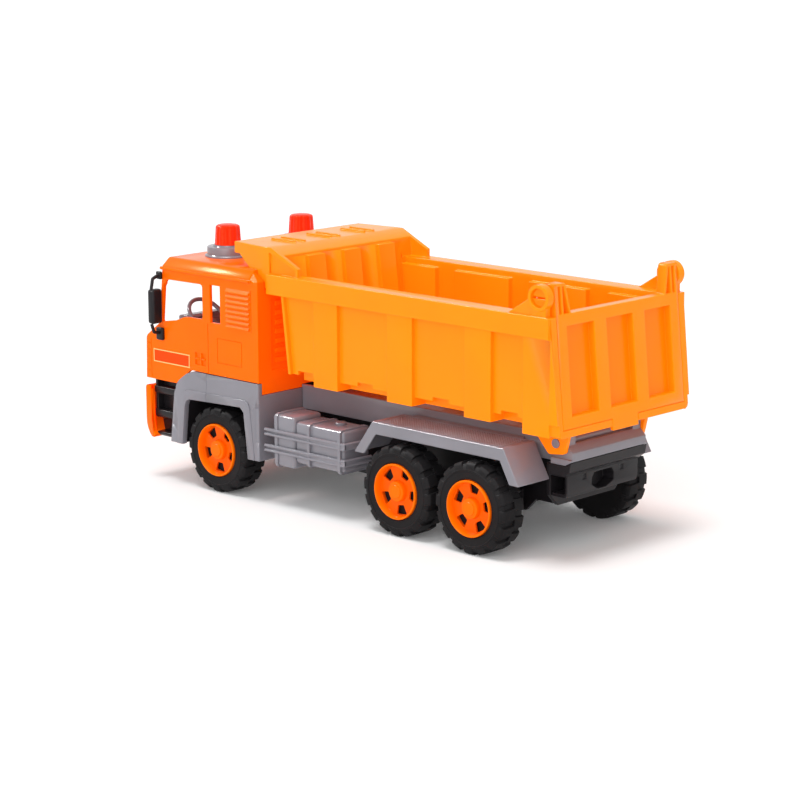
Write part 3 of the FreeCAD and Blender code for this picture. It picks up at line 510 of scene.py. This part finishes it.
edgeWidths = {
    "dump_body": 0.5, "tailgate": 0.5, "chassis_deck": 0.5, "underframe": 0.4, "rear_bumper": 0.5,
    "interior": 0.7, "bed_pin": 0.3, "fender_left": 0.7, "fender_right": 0.7}
for node, width in edgeWidths.items():
    finePiece(node, width)
print("fine copies made:", len(edgeWidths))


# Cab: grooves, slats, handle, bare plate, roof cap with its gutters, and the rungs on its back. Boxes without a
# depth are given as x and z limits.
cabLook = {
    "face": 72.8, "rear": 80.4, "edge": 0.4, "grooveDepth": 0.5, "past": 2.0,
    "seams": [(122.7, 123.3, 84.6, 119.6), (78.4, 79.0, 118.5, 147.5), (183.2, 183.9, 74.0, 102.0)],
    "locker": (88.5, 113.6, 93.0, 110.6), "nose": (184.2, 187.0, 78.0, 78.6), "noseGrooves": 5, "nosePitch": 5.0,
    "handles": ((125.6, 130.4), (132.1, 136.9)), "handleZ": (89.0, 97.7), "handleDepth": 1.1,
    "bars": ((126.2, 129.8), (132.7, 136.3)), "barZ": (92.6, 94.0),
    "screen": [(68.2, 111.6), (70.2, 113.6), (69.4, 146.6), (67.4, 148.6)], "screenX": (163.0, 180.0),
    "slats": 8, "slatPitch": 3.5, "slatLow": 119.2, "slatX": (80.2, 103.4), "slatProud": 1.5,
    "plate": (142.5, 180.8, 85.5, 94.8), "plateRim": 0.7,
    "rungs": 7, "rungPitch": 6.6, "rung": (72.0, 73.2, -56.0, 56.0, 96.5, 99.9),
    "gutter": [(79.6, 73.4, 153.6), (120.0, 73.4, 153.6), (170.6, 73.4, 153.6)], "gutterRadius": 1.15,
    "shoulder": [(72.9, 152.6), (72.9, 154.6), (67.2, 161.0)], "roofFront": 170.4, "roofSlope": 1.8, "roofEdge": 1.5}


def cabCutters():
    face = cabLook["face"]
    past = face + cabLook["past"]
    flat = cabLook["seams"] + frameBars(*cabLook["locker"], 0.5, 0.1)
    x0, x1, z0, z1 = cabLook["nose"]
    for i in range(cabLook["noseGrooves"]):
        rise = cabLook["nosePitch"] * i
        flat.append((x0, x1, z0 + rise, z1 + rise))
    boxes = [(x0, x1, face - cabLook["grooveDepth"], past, z0, z1) for x0, x1, z0, z1 in flat]
    for x0, x1 in cabLook["handles"]:
        boxes.append((x0, x1, face - cabLook["handleDepth"], past, *cabLook["handleZ"]))
    half = cabLook["screen"]
    screen = prismMesh("screen", half + [(-y, z) for y, z in half[::-1]], "X", *cabLook["screenX"])
    return joined("cabCutters", [boxesMesh("cabGrooves", bothSides(boxes)), screen])


def slatMesh():
    face = cabLook["face"] - 0.1
    proud = face + cabLook["slatProud"]
    low = cabLook["slatLow"]
    outline = [(face, low), (proud, low + 0.3), (proud, low + 0.9), (face, low + 3.1)]
    return prismMesh("slat", outline, "X", *cabLook["slatX"])


def roofMesh():
    half = cabLook["shoulder"]
    roof = prismMesh("roof", half + [(-y, z) for y, z in half[::-1]], "X", cabLook["rear"], cabLook["roofFront"])
    for vert in roof.vertices:     # its front leans back a little
        if vert.co.x > 0.17 and vert.co.z > 0.157:
            vert.co.x -= cabLook["roofSlope"] * mm
    return softened(roof, cabLook["roofEdge"])


def makeCab():
    finePiece("cab_shell", cabLook["edge"], cabCutters())
    slats = stacked(slatMesh(), cabLook["slats"], cabLook["slatPitch"], "cab_orange")
    placePair("cabSlats", slats, "chassis", "cab_orange")
    placePair("roofGutter", tubeMesh("gutter", cabLook["gutter"], cabLook["gutterRadius"]), "chassis", "cab_orange")
    place("cabRoof", roofMesh(), "chassis", "cab_orange")
    face = cabLook["face"]
    bars = [(x0, x1, face - 1.2, face + 0.2, *cabLook["barZ"]) for x0, x1 in cabLook["bars"]]
    placePair("doorHandle", boxesMesh("handleBars", bars, 0.3, 2), "chassis", "cab_orange")
    plate = cabLook["plate"]
    field = prismMesh("plateField", roundedRect(*plate, 0.6), "Y", face - 0.1, face + 0.25)
    placePair("cabPlate", field, "chassis", "cab_orange", look=plateField)
    flat = frameBars(*plate, cabLook["plateRim"])
    frameBoxes = [(x0, x1, face - 0.1, face + 0.5, z0, z1) for x0, x1, z0, z1 in flat]
    placePair("cabPlateRim", boxesMesh("plateRim", frameBoxes, 0.12), "chassis", "cab_orange", look=plateEdge)
    rung = boxesMesh("rung", [cabLook["rung"]], 0.3, 2)
    rungs = stacked(rung, cabLook["rungs"], cabLook["rungPitch"], "cab_orange")
    place("cabRungs", joined("rungs", [rungs]), "chassis", "cab_orange")


# Cab base: a face plate with a raised band round the wheel arch, and a black sheet inside the arch for painted shade
baseLook = {
    "edge": 0.6, "outer": [
        (71.9, 29.6), (71.9, 83.6), (136.0, 83.6), (141.2, 82.8), (146.0, 80.9), (150.0, 78.3), (153.4, 75.9),
        (155.7, 73.6), (157.2, 71.2), (158.0, 68.2), (159.7, 60.0), (163.6, 29.6)],
    "band": [
        (76.2, 29.6), (80.6, 66.0), (82.4, 69.0), (86.0, 70.6), (142.6, 70.0), (147.4, 68.8), (150.6, 66.4),
        (152.4, 63.8), (153.4, 61.0), (155.6, 42.0), (157.0, 29.6)],
    "arch": [
        (150.9, 29.6), (147.6, 58.0), (146.2, 61.4), (143.6, 63.0), (90.2, 65.0), (87.7, 64.0), (86.5, 61.6),
        (82.8, 29.6)],
    "well": [
        (81.8, 30.2), (85.6, 64.8), (148.0, 64.8), (152.6, 30.2), (151.4, 30.2), (147.0, 63.8), (86.6, 63.8),
        (83.0, 30.2)],
    "plate": (69.9, 73.4), "plateEdge": 0.7, "proud": (73.2, 74.2), "proudEdge": 0.5, "wellY": (27.2, 69.8),
    "joint": (124.6, 125.2), "seams": (43.0, 66.5), "seamX": ((70.0, 75.4), (158.6, 168.0)), "seamY": (72.9, 75.0)}


def makeCabBase():
    x0, x1 = baseLook["joint"]
    y0, y1 = baseLook["seamY"]
    grooves = [(x0, x1, y0, y1, 71.8, 84.2)]
    for z in baseLook["seams"]:
        for seamX in baseLook["seamX"]:
            grooves.append((*seamX, y0, y1, z, z + 0.5))
    tool = boxesMesh("baseGrooves", bothSides(grooves))
    finePiece("cab_base", baseLook["edge"])
    plate = prismMesh("basePlate", baseLook["outer"] + baseLook["arch"], "Y", *baseLook["plate"])
    placePair("basePlate", softened(plate, baseLook["plateEdge"], tool), "chassis", "grey_plastic")
    band = prismMesh("archBand", baseLook["band"] + baseLook["arch"], "Y", *baseLook["proud"])
    seam = boxesMesh("bandSeam", [(x0, x1, 73.9, 75.0, 60.0, 72.0)])
    placePair("archBand", softened(band, baseLook["proudEdge"], seam), "chassis", "grey_plastic")
    # painted shade: a black sheet fills the arch where it lies in shade
    well = prismMesh("archShadeSheet", baseLook["well"], "Y", *baseLook["wellY"])
    placePair("archShadeSheet", well, "chassis", "black_plastic")


# Front bumper with returns round its ends, and the steps behind them
bumperLook = {
    "half": 73.4, "front": 190.0, "edge": 0.6, "skin": [
        (184.4, 67.4), (188.6, 67.4), (189.5, 66.8), (190.0, 65.4), (190.0, 43.0), (189.6, 39.0), (188.4, 35.4),
        (186.6, 32.2), (184.6, 30.0), (182.2, 29.8)],
    "back": [(180.6, 32.0), (183.4, 34.8), (185.2, 38.0), (186.4, 42.0), (186.8, 46.0), (186.8, 64.6), (184.4, 64.6)],
    "end": [(181.2, 31.0), (183.0, 34.0), (184.4, 42.0)], "endThick": 3.0,
    "lamp": (40.0, 64.0, 47.0, 60.0), "lampSlant": 4.0, "lampDepth": 1.4}


def makeBumper():
    half = bumperLook["half"]
    edge = bumperLook["edge"]
    front = bumperLook["front"]
    skin = prismMesh("bumper", bumperLook["skin"] + bumperLook["back"], "Y", -half, half)
    section = bumperLook["skin"] + bumperLook["end"]
    end = prismMesh("bumperEnd", section, "Y", half - bumperLook["endThick"], half + 0.05)
    y0, y1, z0, z1 = bumperLook["lamp"]
    slanted = y0 + bumperLook["lampSlant"]
    lamps = bmesh.new()
    for flip in (1, -1):
        outline = [(flip * slanted, z0), (flip * y1, z0), (flip * y1, z1), (flip * y0, z1)]
        prism(lamps, outline, "X", front - bumperLook["lampDepth"], front + 2.0)
    ends = [softened(joined("bumperEnd", [end], turn), edge) for turn in (None, flipY)]
    shape = joined("bumper", [softened(skin, edge, closeWork(lamps, "lamps"))] + ends)
    place("frontBumperShape", shape, "chassis", "cab_orange", ("front_bumper",))


stepLook = {
    "back": [(165.0, 30.6), (161.0, 66.5), (161.0, 72.2), (184.2, 72.2), (184.2, 45.0), (181.0, 30.6)],
    "y": (62.0, 70.4), "treads": ((67.0, 161.4, 184.0), (50.0, 163.2, 184.0), (34.0, 165.6, 181.8)),
    "drop": 6.4, "lowest": 30.4, "edge": 0.3}


def makeSteps():
    y0, y1 = stepLook["y"]
    work = bmesh.new()
    prism(work, stepLook["back"], "Y", y0, y0 + 1.6)
    for top, back, front in stepLook["treads"]:
        low = max(top - stepLook["drop"], stepLook["lowest"])
        outline = [(y0, top), (y1 - 0.6, top), (y1, top - 0.6), (y1 - 0.4, low + 1.6), (y1 - 3.0, low), (y0, low)]
        prism(work, outline, "X", back, front)
    roundBox(work, 181.6, 184.2, y0, y1 - 1.2, 44.0, 72.0, 0.4, 2)
    roundBox(work, 161.2, 163.0, y0, y1 - 1.8, 67.0, 72.0, 0.4, 2)
    placePair("stepsShape", softened(closeWork(work, "steps"), stepLook["edge"]), "chassis", "black_plastic", "steps")


makeCab()
makeCabBase()
makeBumper()
makeSteps()
print("cab made")


# Wheels: dished rims with five windows, and tyres with two staggered rows of lugs
wheelSizes = {
    "face": 73.6, "dish": 68.9, "seat": 18.6, "hub": 7.0, "rimSides": 72, "tyreSides": 96, "lugs": 16, "radius": 30.4,
    "tread": 29.0, "lugFoot": 28.5, "middle": 62.3, "outer": 72.8, "inner": 51.8, "backing": 16.0, "bore": 2.7,
    "windows": 5, "window": [
        (9.5, -2.3), (10.0, -2.8), (15.0, -4.4), (15.7, -3.8), (15.7, 3.8), (15.0, 4.4), (10.0, 2.8), (9.5, 2.3)],
    "windowTurns": {"front": 54.5, "middle": 44.6, "rear": 24.7}, "sharp": 28.0}


def rimMesh():
    face = wheelSizes["face"]
    dish = wheelSizes["dish"]
    seat = wheelSizes["seat"]
    hub = wheelSizes["hub"]
    return latheMesh("rim", [
        (0.0, dish - 1.3), (16.2, dish - 1.3), (16.8, face - 18.0), (seat, face - 18.0), (seat, face - 0.7),
        (seat - 0.3, face - 0.15), (seat - 0.7, face), (seat - 1.1, face - 0.1), (seat - 1.4, face - 0.6),
        (16.4, dish + 0.5), (16.1, dish + 0.1), (15.7, dish), (hub + 0.6, dish), (hub + 0.15, dish + 0.15),
        (hub, dish + 0.6), (hub - 0.3, dish + 2.7), (hub - 0.5, dish + 3.1), (hub - 0.9, dish + 3.2),
        (4.7, dish + 3.2), (4.45, dish + 3.35), (4.35, dish + 3.7), (4.1, dish + 3.9), (0.0, dish + 3.9)],
        wheelSizes["rimSides"])


def cutRim(turn):
    window = prismMesh("window", wheelSizes["window"], "Y", 60.0, 71.0)
    holder = addObject("rimBlank", rimMesh())
    mesh = carvedMesh(holder, ringed(window, wheelSizes["windows"], -math.radians(turn), "rim_orange"))
    bpy.data.objects.remove(holder)
    return mesh


def lugMesh(name, inward):
    work = bmesh.new()
    middle = wheelSizes["middle"]
    foot = wheelSizes["lugFoot"]
    top = wheelSizes["radius"]
    stations = []
    for out, high, low, turn in (
            (0.0, top, foot - 0.6, 0.0), (6.6, top, foot - 0.6, 1.2), (8.3, top - 0.25, foot - 0.8, 1.6),
            (9.4, top - 1.1, foot - 1.4, 1.8), (10.0, top - 2.4, foot - 2.6, 1.9),
            (10.25, top - 4.0, foot - 3.4, 2.0)):
        ring = []
        for angle, radius in ((-8.6, low), (-7.0, high), (-2.4, high), (2.4, high), (7.0, high), (8.6, low)):
            a = math.radians(angle + turn)
            y = middle - out if inward else middle + out
            ring.append(work.verts.new(Vector((radius * math.cos(a), y, radius * math.sin(a))) * mm))
        stations.append(ring)
    for before, after in zip(stations, stations[1:]):
        for i in range(6):
            following = (i + 1) % 6
            work.faces.new((before[i], before[following], after[following], after[i]))
    work.faces.new(stations[0])
    work.faces.new(stations[-1])
    return closeWork(work, name)


def tyreMesh():
    outer = wheelSizes["outer"]
    inner = wheelSizes["inner"]
    tread = wheelSizes["tread"]
    bore = wheelSizes["bore"]
    carcass = latheMesh("carcass", [
        (bore, inner + 2.0), (bore, inner + 0.5), (20.0, inner + 0.3), (24.4, inner + 0.3), (26.6, inner + 0.9),
        (28.4, inner + 2.2), (tread, inner + 3.8), (tread, outer - 3.6), (28.5, outer - 2.0), (27.2, outer - 0.9),
        (25.9, outer - 0.5), (25.6, outer - 0.35), (25.4, outer - 0.05), (25.0, outer), (24.5, outer - 0.05),
        (24.3, outer - 0.35), (20.4, outer - 0.5), (19.3, outer - 0.7), (18.8, outer - 1.4), (18.7, inner + 3.4),
        (18.0, inner + 2.0)], wheelSizes["tyreSides"])
    back = wheelSizes["dish"] - 3.2     # the black backing seen through the rim's windows
    reach = wheelSizes["backing"]
    backing = latheMesh("backing", [(2.6, back), (reach, back), (reach, back + 0.6), (2.6, back + 0.6)], 48)
    count = wheelSizes["lugs"]
    outside = ringed(lugMesh("lugOutside", False), count, 0.0, "tyre")
    inside = ringed(lugMesh("lugInside", True), count, math.pi / count, "tyre")
    return joined("tyre", [carcass, backing, outside, inside])


def makeWheels():
    tyreShape = tyreMesh()
    for axleName, turn in wheelSizes["windowTurns"].items():
        low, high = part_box("axle_" + axleName)
        middle = Matrix.Translation(Vector(((low[0] + high[0]) / 2, 0.0, (low[2] + high[2]) / 2)))
        body = "axle_" + axleName
        for side, flip in (("left", Matrix.Identity(4)), ("right", flipY)):
            for part, shape, slotName in (("rim", cutRim(turn), "rim_orange"), ("tyre", tyreShape, "tyre")):
                name = part + axleName + side.capitalize()
                mesh = joined(part, [shape], middle @ flip)
                replaced = ("%s_%s_%s" % (part, axleName, side),)
                place(name, mesh, body, slotName, replaced, angle=wheelSizes["sharp"])


makeWheels()
print("wheels made")


# Side tanks with straps, a filler cap and two double guard bars, on a black holder
tankSizes = {
    "tall": (40.6, 61.8, 43.0, 70.0, 28.4, 64.6), "low": (-5.6, 40.6, 43.6, 69.0, 32.9, 61.8), "corner": 2.6,
    "strap": 2.4, "strapProud": 0.9, "strapFront": 70.9, "straps": (("tall", 57.3), ("low", 26.1), ("low", -3.1)),
    "holder": (-4.6, 60.6, 27.2, 46.0, 36.0, 57.6), "cap": (12.0, 53.6),
    "bars": (51.5, 40.3), "barGap": 1.6, "barRadius": 1.1, "bend": 2.6,
    "barPath": ((67.6, 71.4), (-8.6, 71.4), (-8.6, 46.0)),
    "webs": ((-8.4, 66.6, 69.2, 70.5), (-8.4, -7.2, 46.0, 70.0)), "webHalf": 1.4}


def makeTanks():
    work = bmesh.new()
    for label in ("tall", "low"):
        roundBox(work, *tankSizes[label], tankSizes["corner"], 5)
    half = tankSizes["strap"] / 2
    proud = tankSizes["strapProud"]
    for label, x in tankSizes["straps"]:
        y0, z0, z1 = (tankSizes[label][i] for i in (2, 4, 5))
        outline = roundedRect(y0 - 0.6, tankSizes["strapFront"], z0 - proud, z1 + proud, tankSizes["corner"] + proud)
        prism(work, outline, "X", x - half, x + half)
    boxes = closeWork(work, "tankBoxes")
    placePair("tankHolder", boxesMesh("tankHolder", [tankSizes["holder"]], 0.6, 2), "chassis", "black_plastic")
    cap = latheMesh("tankCap", [(0, 60.6), (3.8, 60.6), (3.8, 63.1), (3.5, 63.5), (3.0, 63.7), (0, 63.7)], 32, "Z")
    cap.transform(Matrix.Translation(Vector((*tankSizes["cap"], 0.0)) * mm))
    parts = [boxes, cap]
    for z in tankSizes["bars"]:
        for shift in (-tankSizes["barGap"], tankSizes["barGap"]):
            path = filleted([(x, y, z + shift) for x, y in tankSizes["barPath"]], tankSizes["bend"])
            parts.append(tubeMesh("guardBar", path, tankSizes["barRadius"]))
        low, high = z - tankSizes["webHalf"], z + tankSizes["webHalf"]
        parts.append(boxesMesh("guardWeb", [(*web, low, high) for web in tankSizes["webs"]]))
    placePair("tanks", joined("tanks", parts), "chassis", "grey_plastic", "tank")


# Fender tops with a field of small dots inside a thin line
fenderDots = {
    "x": -139.4, "y": 41.0, "top": 72.6, "count": 50, "rows": 12, "pitch": 2.1, "radius": 0.55,
    "line": (-141.4, -34.6, 39.0, 65.6), "lineWidth": 0.5}


def makeDots():
    top = fenderDots["top"]
    radius = fenderDots["radius"]
    pitch = fenderDots["pitch"] * mm
    profile = [(0.0, top - 0.1), (radius, top - 0.1), (radius * 0.8, top + 0.22), (0.0, top + 0.3)]
    dot = latheMesh("dot", profile, 6, "Z")
    dot.transform(Matrix.Translation(Vector((fenderDots["x"], fenderDots["y"], 0.0)) * mm))
    dots = grown(dot, gridCopies, {
        "Count": fenderDots["count"], "Step": (pitch, 0.0, 0.0), "Rows": fenderDots["rows"],
        "Row Step": (0.0, pitch, 0.0), "Finish": materials["grey_plastic"]})
    placePair("fenderDots", joined("dots", [dots]), "chassis", "grey_plastic")
    bars = frameBars(*fenderDots["line"], fenderDots["lineWidth"])
    line = boxesMesh("dotLine", [(*bar, top - 0.1, top + 0.25) for bar in bars])
    placePair("fenderLine", line, "chassis", "grey_plastic")


# Mirrors: a tall housing on two bent arms. Each block is half its x size, then y and z limits and its rounding.
mirrorSizes = {
    "x": 172.0, "armRadius": 1.2, "bend": 2.6,
    "blocks": (
        (3.2, 73.8, 83.0, 114.4, 139.0, 2.0, 4), (3.5, 72.8, 75.4, 102.0, 111.0, 1.0, 3),
        (2.6, 72.8, 75.2, 145.4, 151.0, 1.0, 3)),
    "arms": (((73.0, 149.0), (81.8, 148.0), (81.8, 138.0)), ((73.0, 106.6), (81.8, 106.6), (81.8, 114.0)))}


def makeMirrors():
    x = mirrorSizes["x"]
    housing = bmesh.new()
    for half, y0, y1, z0, z1, radius, segments in mirrorSizes["blocks"]:
        roundBox(housing, x - half, x + half, y0, y1, z0, z1, radius, segments)
    parts = [closeWork(housing, "housing")]
    for arm in mirrorSizes["arms"]:
        path = filleted([(x, y, z) for y, z in arm], mirrorSizes["bend"])
        parts.append(tubeMesh("mirrorArm", path, mirrorSizes["armRadius"]))
    placePair("mirrorShape", joined("mirror", parts), "chassis", "black_plastic", "mirror")


# Beacons: a drum and collar, and a tapered cap with soft flutes
beaconSizes = {
    "x": 141.5, "y": 35.8, "base": 160.9, "baseSides": 72, "cap": 169.3, "capSides": 80, "flutes": 14,
    "fluteDepth": 0.035}


def makeBeacons():
    low = beaconSizes["base"]
    base = latheMesh("beaconBase", [
        (0.0, low), (16.4, low), (16.4, low + 1.0), (16.0, low + 1.4), (15.1, low + 1.5), (14.8, low + 1.9),
        (14.8, low + 6.5), (14.6, low + 7.0), (14.1, low + 7.2), (10.6, low + 7.25), (10.4, low + 7.5),
        (10.4, low + 8.1), (10.2, low + 8.3), (0.0, low + 8.3)], beaconSizes["baseSides"], "Z")
    low = beaconSizes["cap"]
    cap = latheMesh("beaconCap", [
        (0.0, low), (9.1, low), (9.1, low + 0.6), (8.95, low + 0.9), (8.3, low + 11.9), (8.1, low + 12.8),
        (7.6, low + 13.4), (6.6, low + 13.9), (4.4, low + 14.4), (0.0, low + 14.7)],
        beaconSizes["capSides"], "Z", beaconSizes["flutes"], beaconSizes["fluteDepth"])
    spot = Matrix.Translation(Vector((beaconSizes["x"], beaconSizes["y"], 0.0)) * mm)
    base.transform(spot)
    cap.transform(spot)
    placePair("beaconBase", base, "chassis", "grey_plastic", "beacon_base")
    placePair("beaconCap", cap, "chassis", "beacon_red", "beacon_cap")


# Steering wheel on its leaning column
steering = {
    "ring": 13.8, "thick": 1.5, "foot": (162.8, 47.0, 109.2), "along": 12.3, "lean": 45.0, "spokes": (90, 210, 330),
    "sectionSides": 14, "sides": 64}


def makeSteeringWheel():
    ring = steering["ring"]
    thick = steering["thick"]
    count = steering["sectionSides"]
    section = []
    for i in range(count):
        a = 2 * math.pi * i / count
        section.append((ring + thick * math.cos(a), thick + thick * math.sin(a)))
    hub = latheMesh("hub", [(0, 0), (3.6, 0), (3.6, 2.0), (3.0, 2.6), (0, 2.6)], 32, "Z")
    parts = [latheMesh("ring", section, steering["sides"], "Z"), hub]
    for turn in steering["spokes"]:
        spoke = boxesMesh("spoke", [(2.0, ring, -1.2, 1.2, 0.5, 2.2)], 0.4, 2)
        spoke.transform(Matrix.Rotation(math.radians(turn), 4, "Z"))
        parts.append(spoke)
    lean = Matrix.Rotation(-math.radians(steering["lean"]), 4, "Y")
    foot = Vector(steering["foot"]) + (lean @ Vector((0.0, 0.0, steering["along"])))
    mesh = joined("steering", parts, Matrix.Translation(foot * mm) @ lean)
    place("steeringRing", mesh, "chassis", "grey_plastic", ("steering_wheel",))


makeTanks()
makeDots()
makeMirrors()
makeBeacons()
makeSteeringWheel()
for axleName in ("axle_front", "axle_middle", "axle_rear"):
    shaft = nodes[axleName].data
    shaft.materials.clear()
    shaft.materials.append(materials["steel"])
    shaft.shade_smooth()
    shaft.set_sharp_from_angle(angle=math.radians(30.0))
print("fittings made")


# Camera, floor and light
view = {     # yaw, pitch and roll, the spot in millimetres, and the focal length in pixels of the picture's width
    "angles": (-46.065, -12.0543, -0.1898), "spot": (-1149.63, 1201.84, 427.13), "focus": 2486.56, "width": 800.0,
    "sensor": 36.0}


def makeCamera():
    data = bpy.data.cameras.new("camera")
    made = addObject("camera", data)
    yaw, pitch, roll = (math.radians(angle) for angle in view["angles"])
    forward = Vector((math.cos(pitch) * math.cos(yaw), math.cos(pitch) * math.sin(yaw), math.sin(pitch)))
    right = Vector((math.sin(yaw), -math.cos(yaw), 0.0))
    up = right.cross(forward)
    turnedRight = right * math.cos(roll) + up * math.sin(roll)
    turnedUp = up * math.cos(roll) - right * math.sin(roll)
    turn = Matrix((turnedRight, turnedUp, -forward)).transposed().to_4x4()
    made.matrix_world = Matrix.Translation(Vector(view["spot"]) * mm) @ turn
    data.sensor_width = view["sensor"]
    data.lens = view["focus"] / view["width"] * view["sensor"]
    data.clip_start = 0.05
    data.clip_end = 50.0
    bpy.context.scene.camera = made


def makeFloor():
    mesh = bpy.data.meshes.new("floor")
    reach = 14.0
    corners = [(-reach, -reach, 0), (reach, -reach, 0), (reach, reach, 0), (-reach, reach, 0)]
    mesh.from_pydata(corners, [], [(0, 1, 2, 3)])
    made = addObject("floor", mesh)
    material = bpy.data.materials.new("floorLook")
    material.use_nodes = True
    graph = Graph(material.node_tree)
    coords = graph.add("ShaderNodeTexCoord", {}, {}, "Object")
    tint = graph.blend(graph.noise(coords, 3.0), (0.93, 0.93, 0.93, 1.0), (0.91, 0.91, 0.91, 1.0))
    matt = graph.add(
        "ShaderNodeBsdfPrincipled", {}, {"Base Color": tint, "Roughness": 0.9, "Specular IOR Level": 0.1})
    lift = graph.add("ShaderNodeEmission", {}, {"Color": white, "Strength": graph.seen() * 0.07})
    both = graph.add("ShaderNodeAddShader", {}, {0: matt, 1: lift})
    graph.add("ShaderNodeOutputMaterial", {}, {"Surface": both})
    mesh.materials.append(material)


def makeSun(name, strength, size, direction, soft=True):     # one that isn't soft shows only in the shine
    data = bpy.data.lights.new(name, "SUN")
    data.energy = strength
    data.angle = math.radians(size)
    made = addObject(name, data)
    made.rotation_mode = "QUATERNION"
    made.rotation_quaternion = Vector(direction).to_track_quat("-Z", "Y")
    made.visible_diffuse = soft


def makeWorld(level):
    world = bpy.data.worlds.new("studio")
    bpy.context.scene.world = world
    world.use_nodes = True
    graph = Graph(world.node_tree)
    strength = graph.seen() * (1.0 - level) + level
    shader = graph.add("ShaderNodeBackground", {}, {"Color": white, "Strength": strength})
    graph.add("ShaderNodeOutputWorld", {}, {"Surface": shader})


makeCamera()
makeFloor()
makeWorld(0.52)
makeSun("keySun", 1.6, 24.0, (0.0, -0.16, -1.0))
makeSun("fillSun", 1.05, 50.0, (0.4, -0.85, -0.4))
makeSun("edgeSun", 3.0, 10.0, (-0.62, -0.38, -0.66), False)
bpy.context.scene.view_settings.view_transform = "Standard"
print("stage ready")
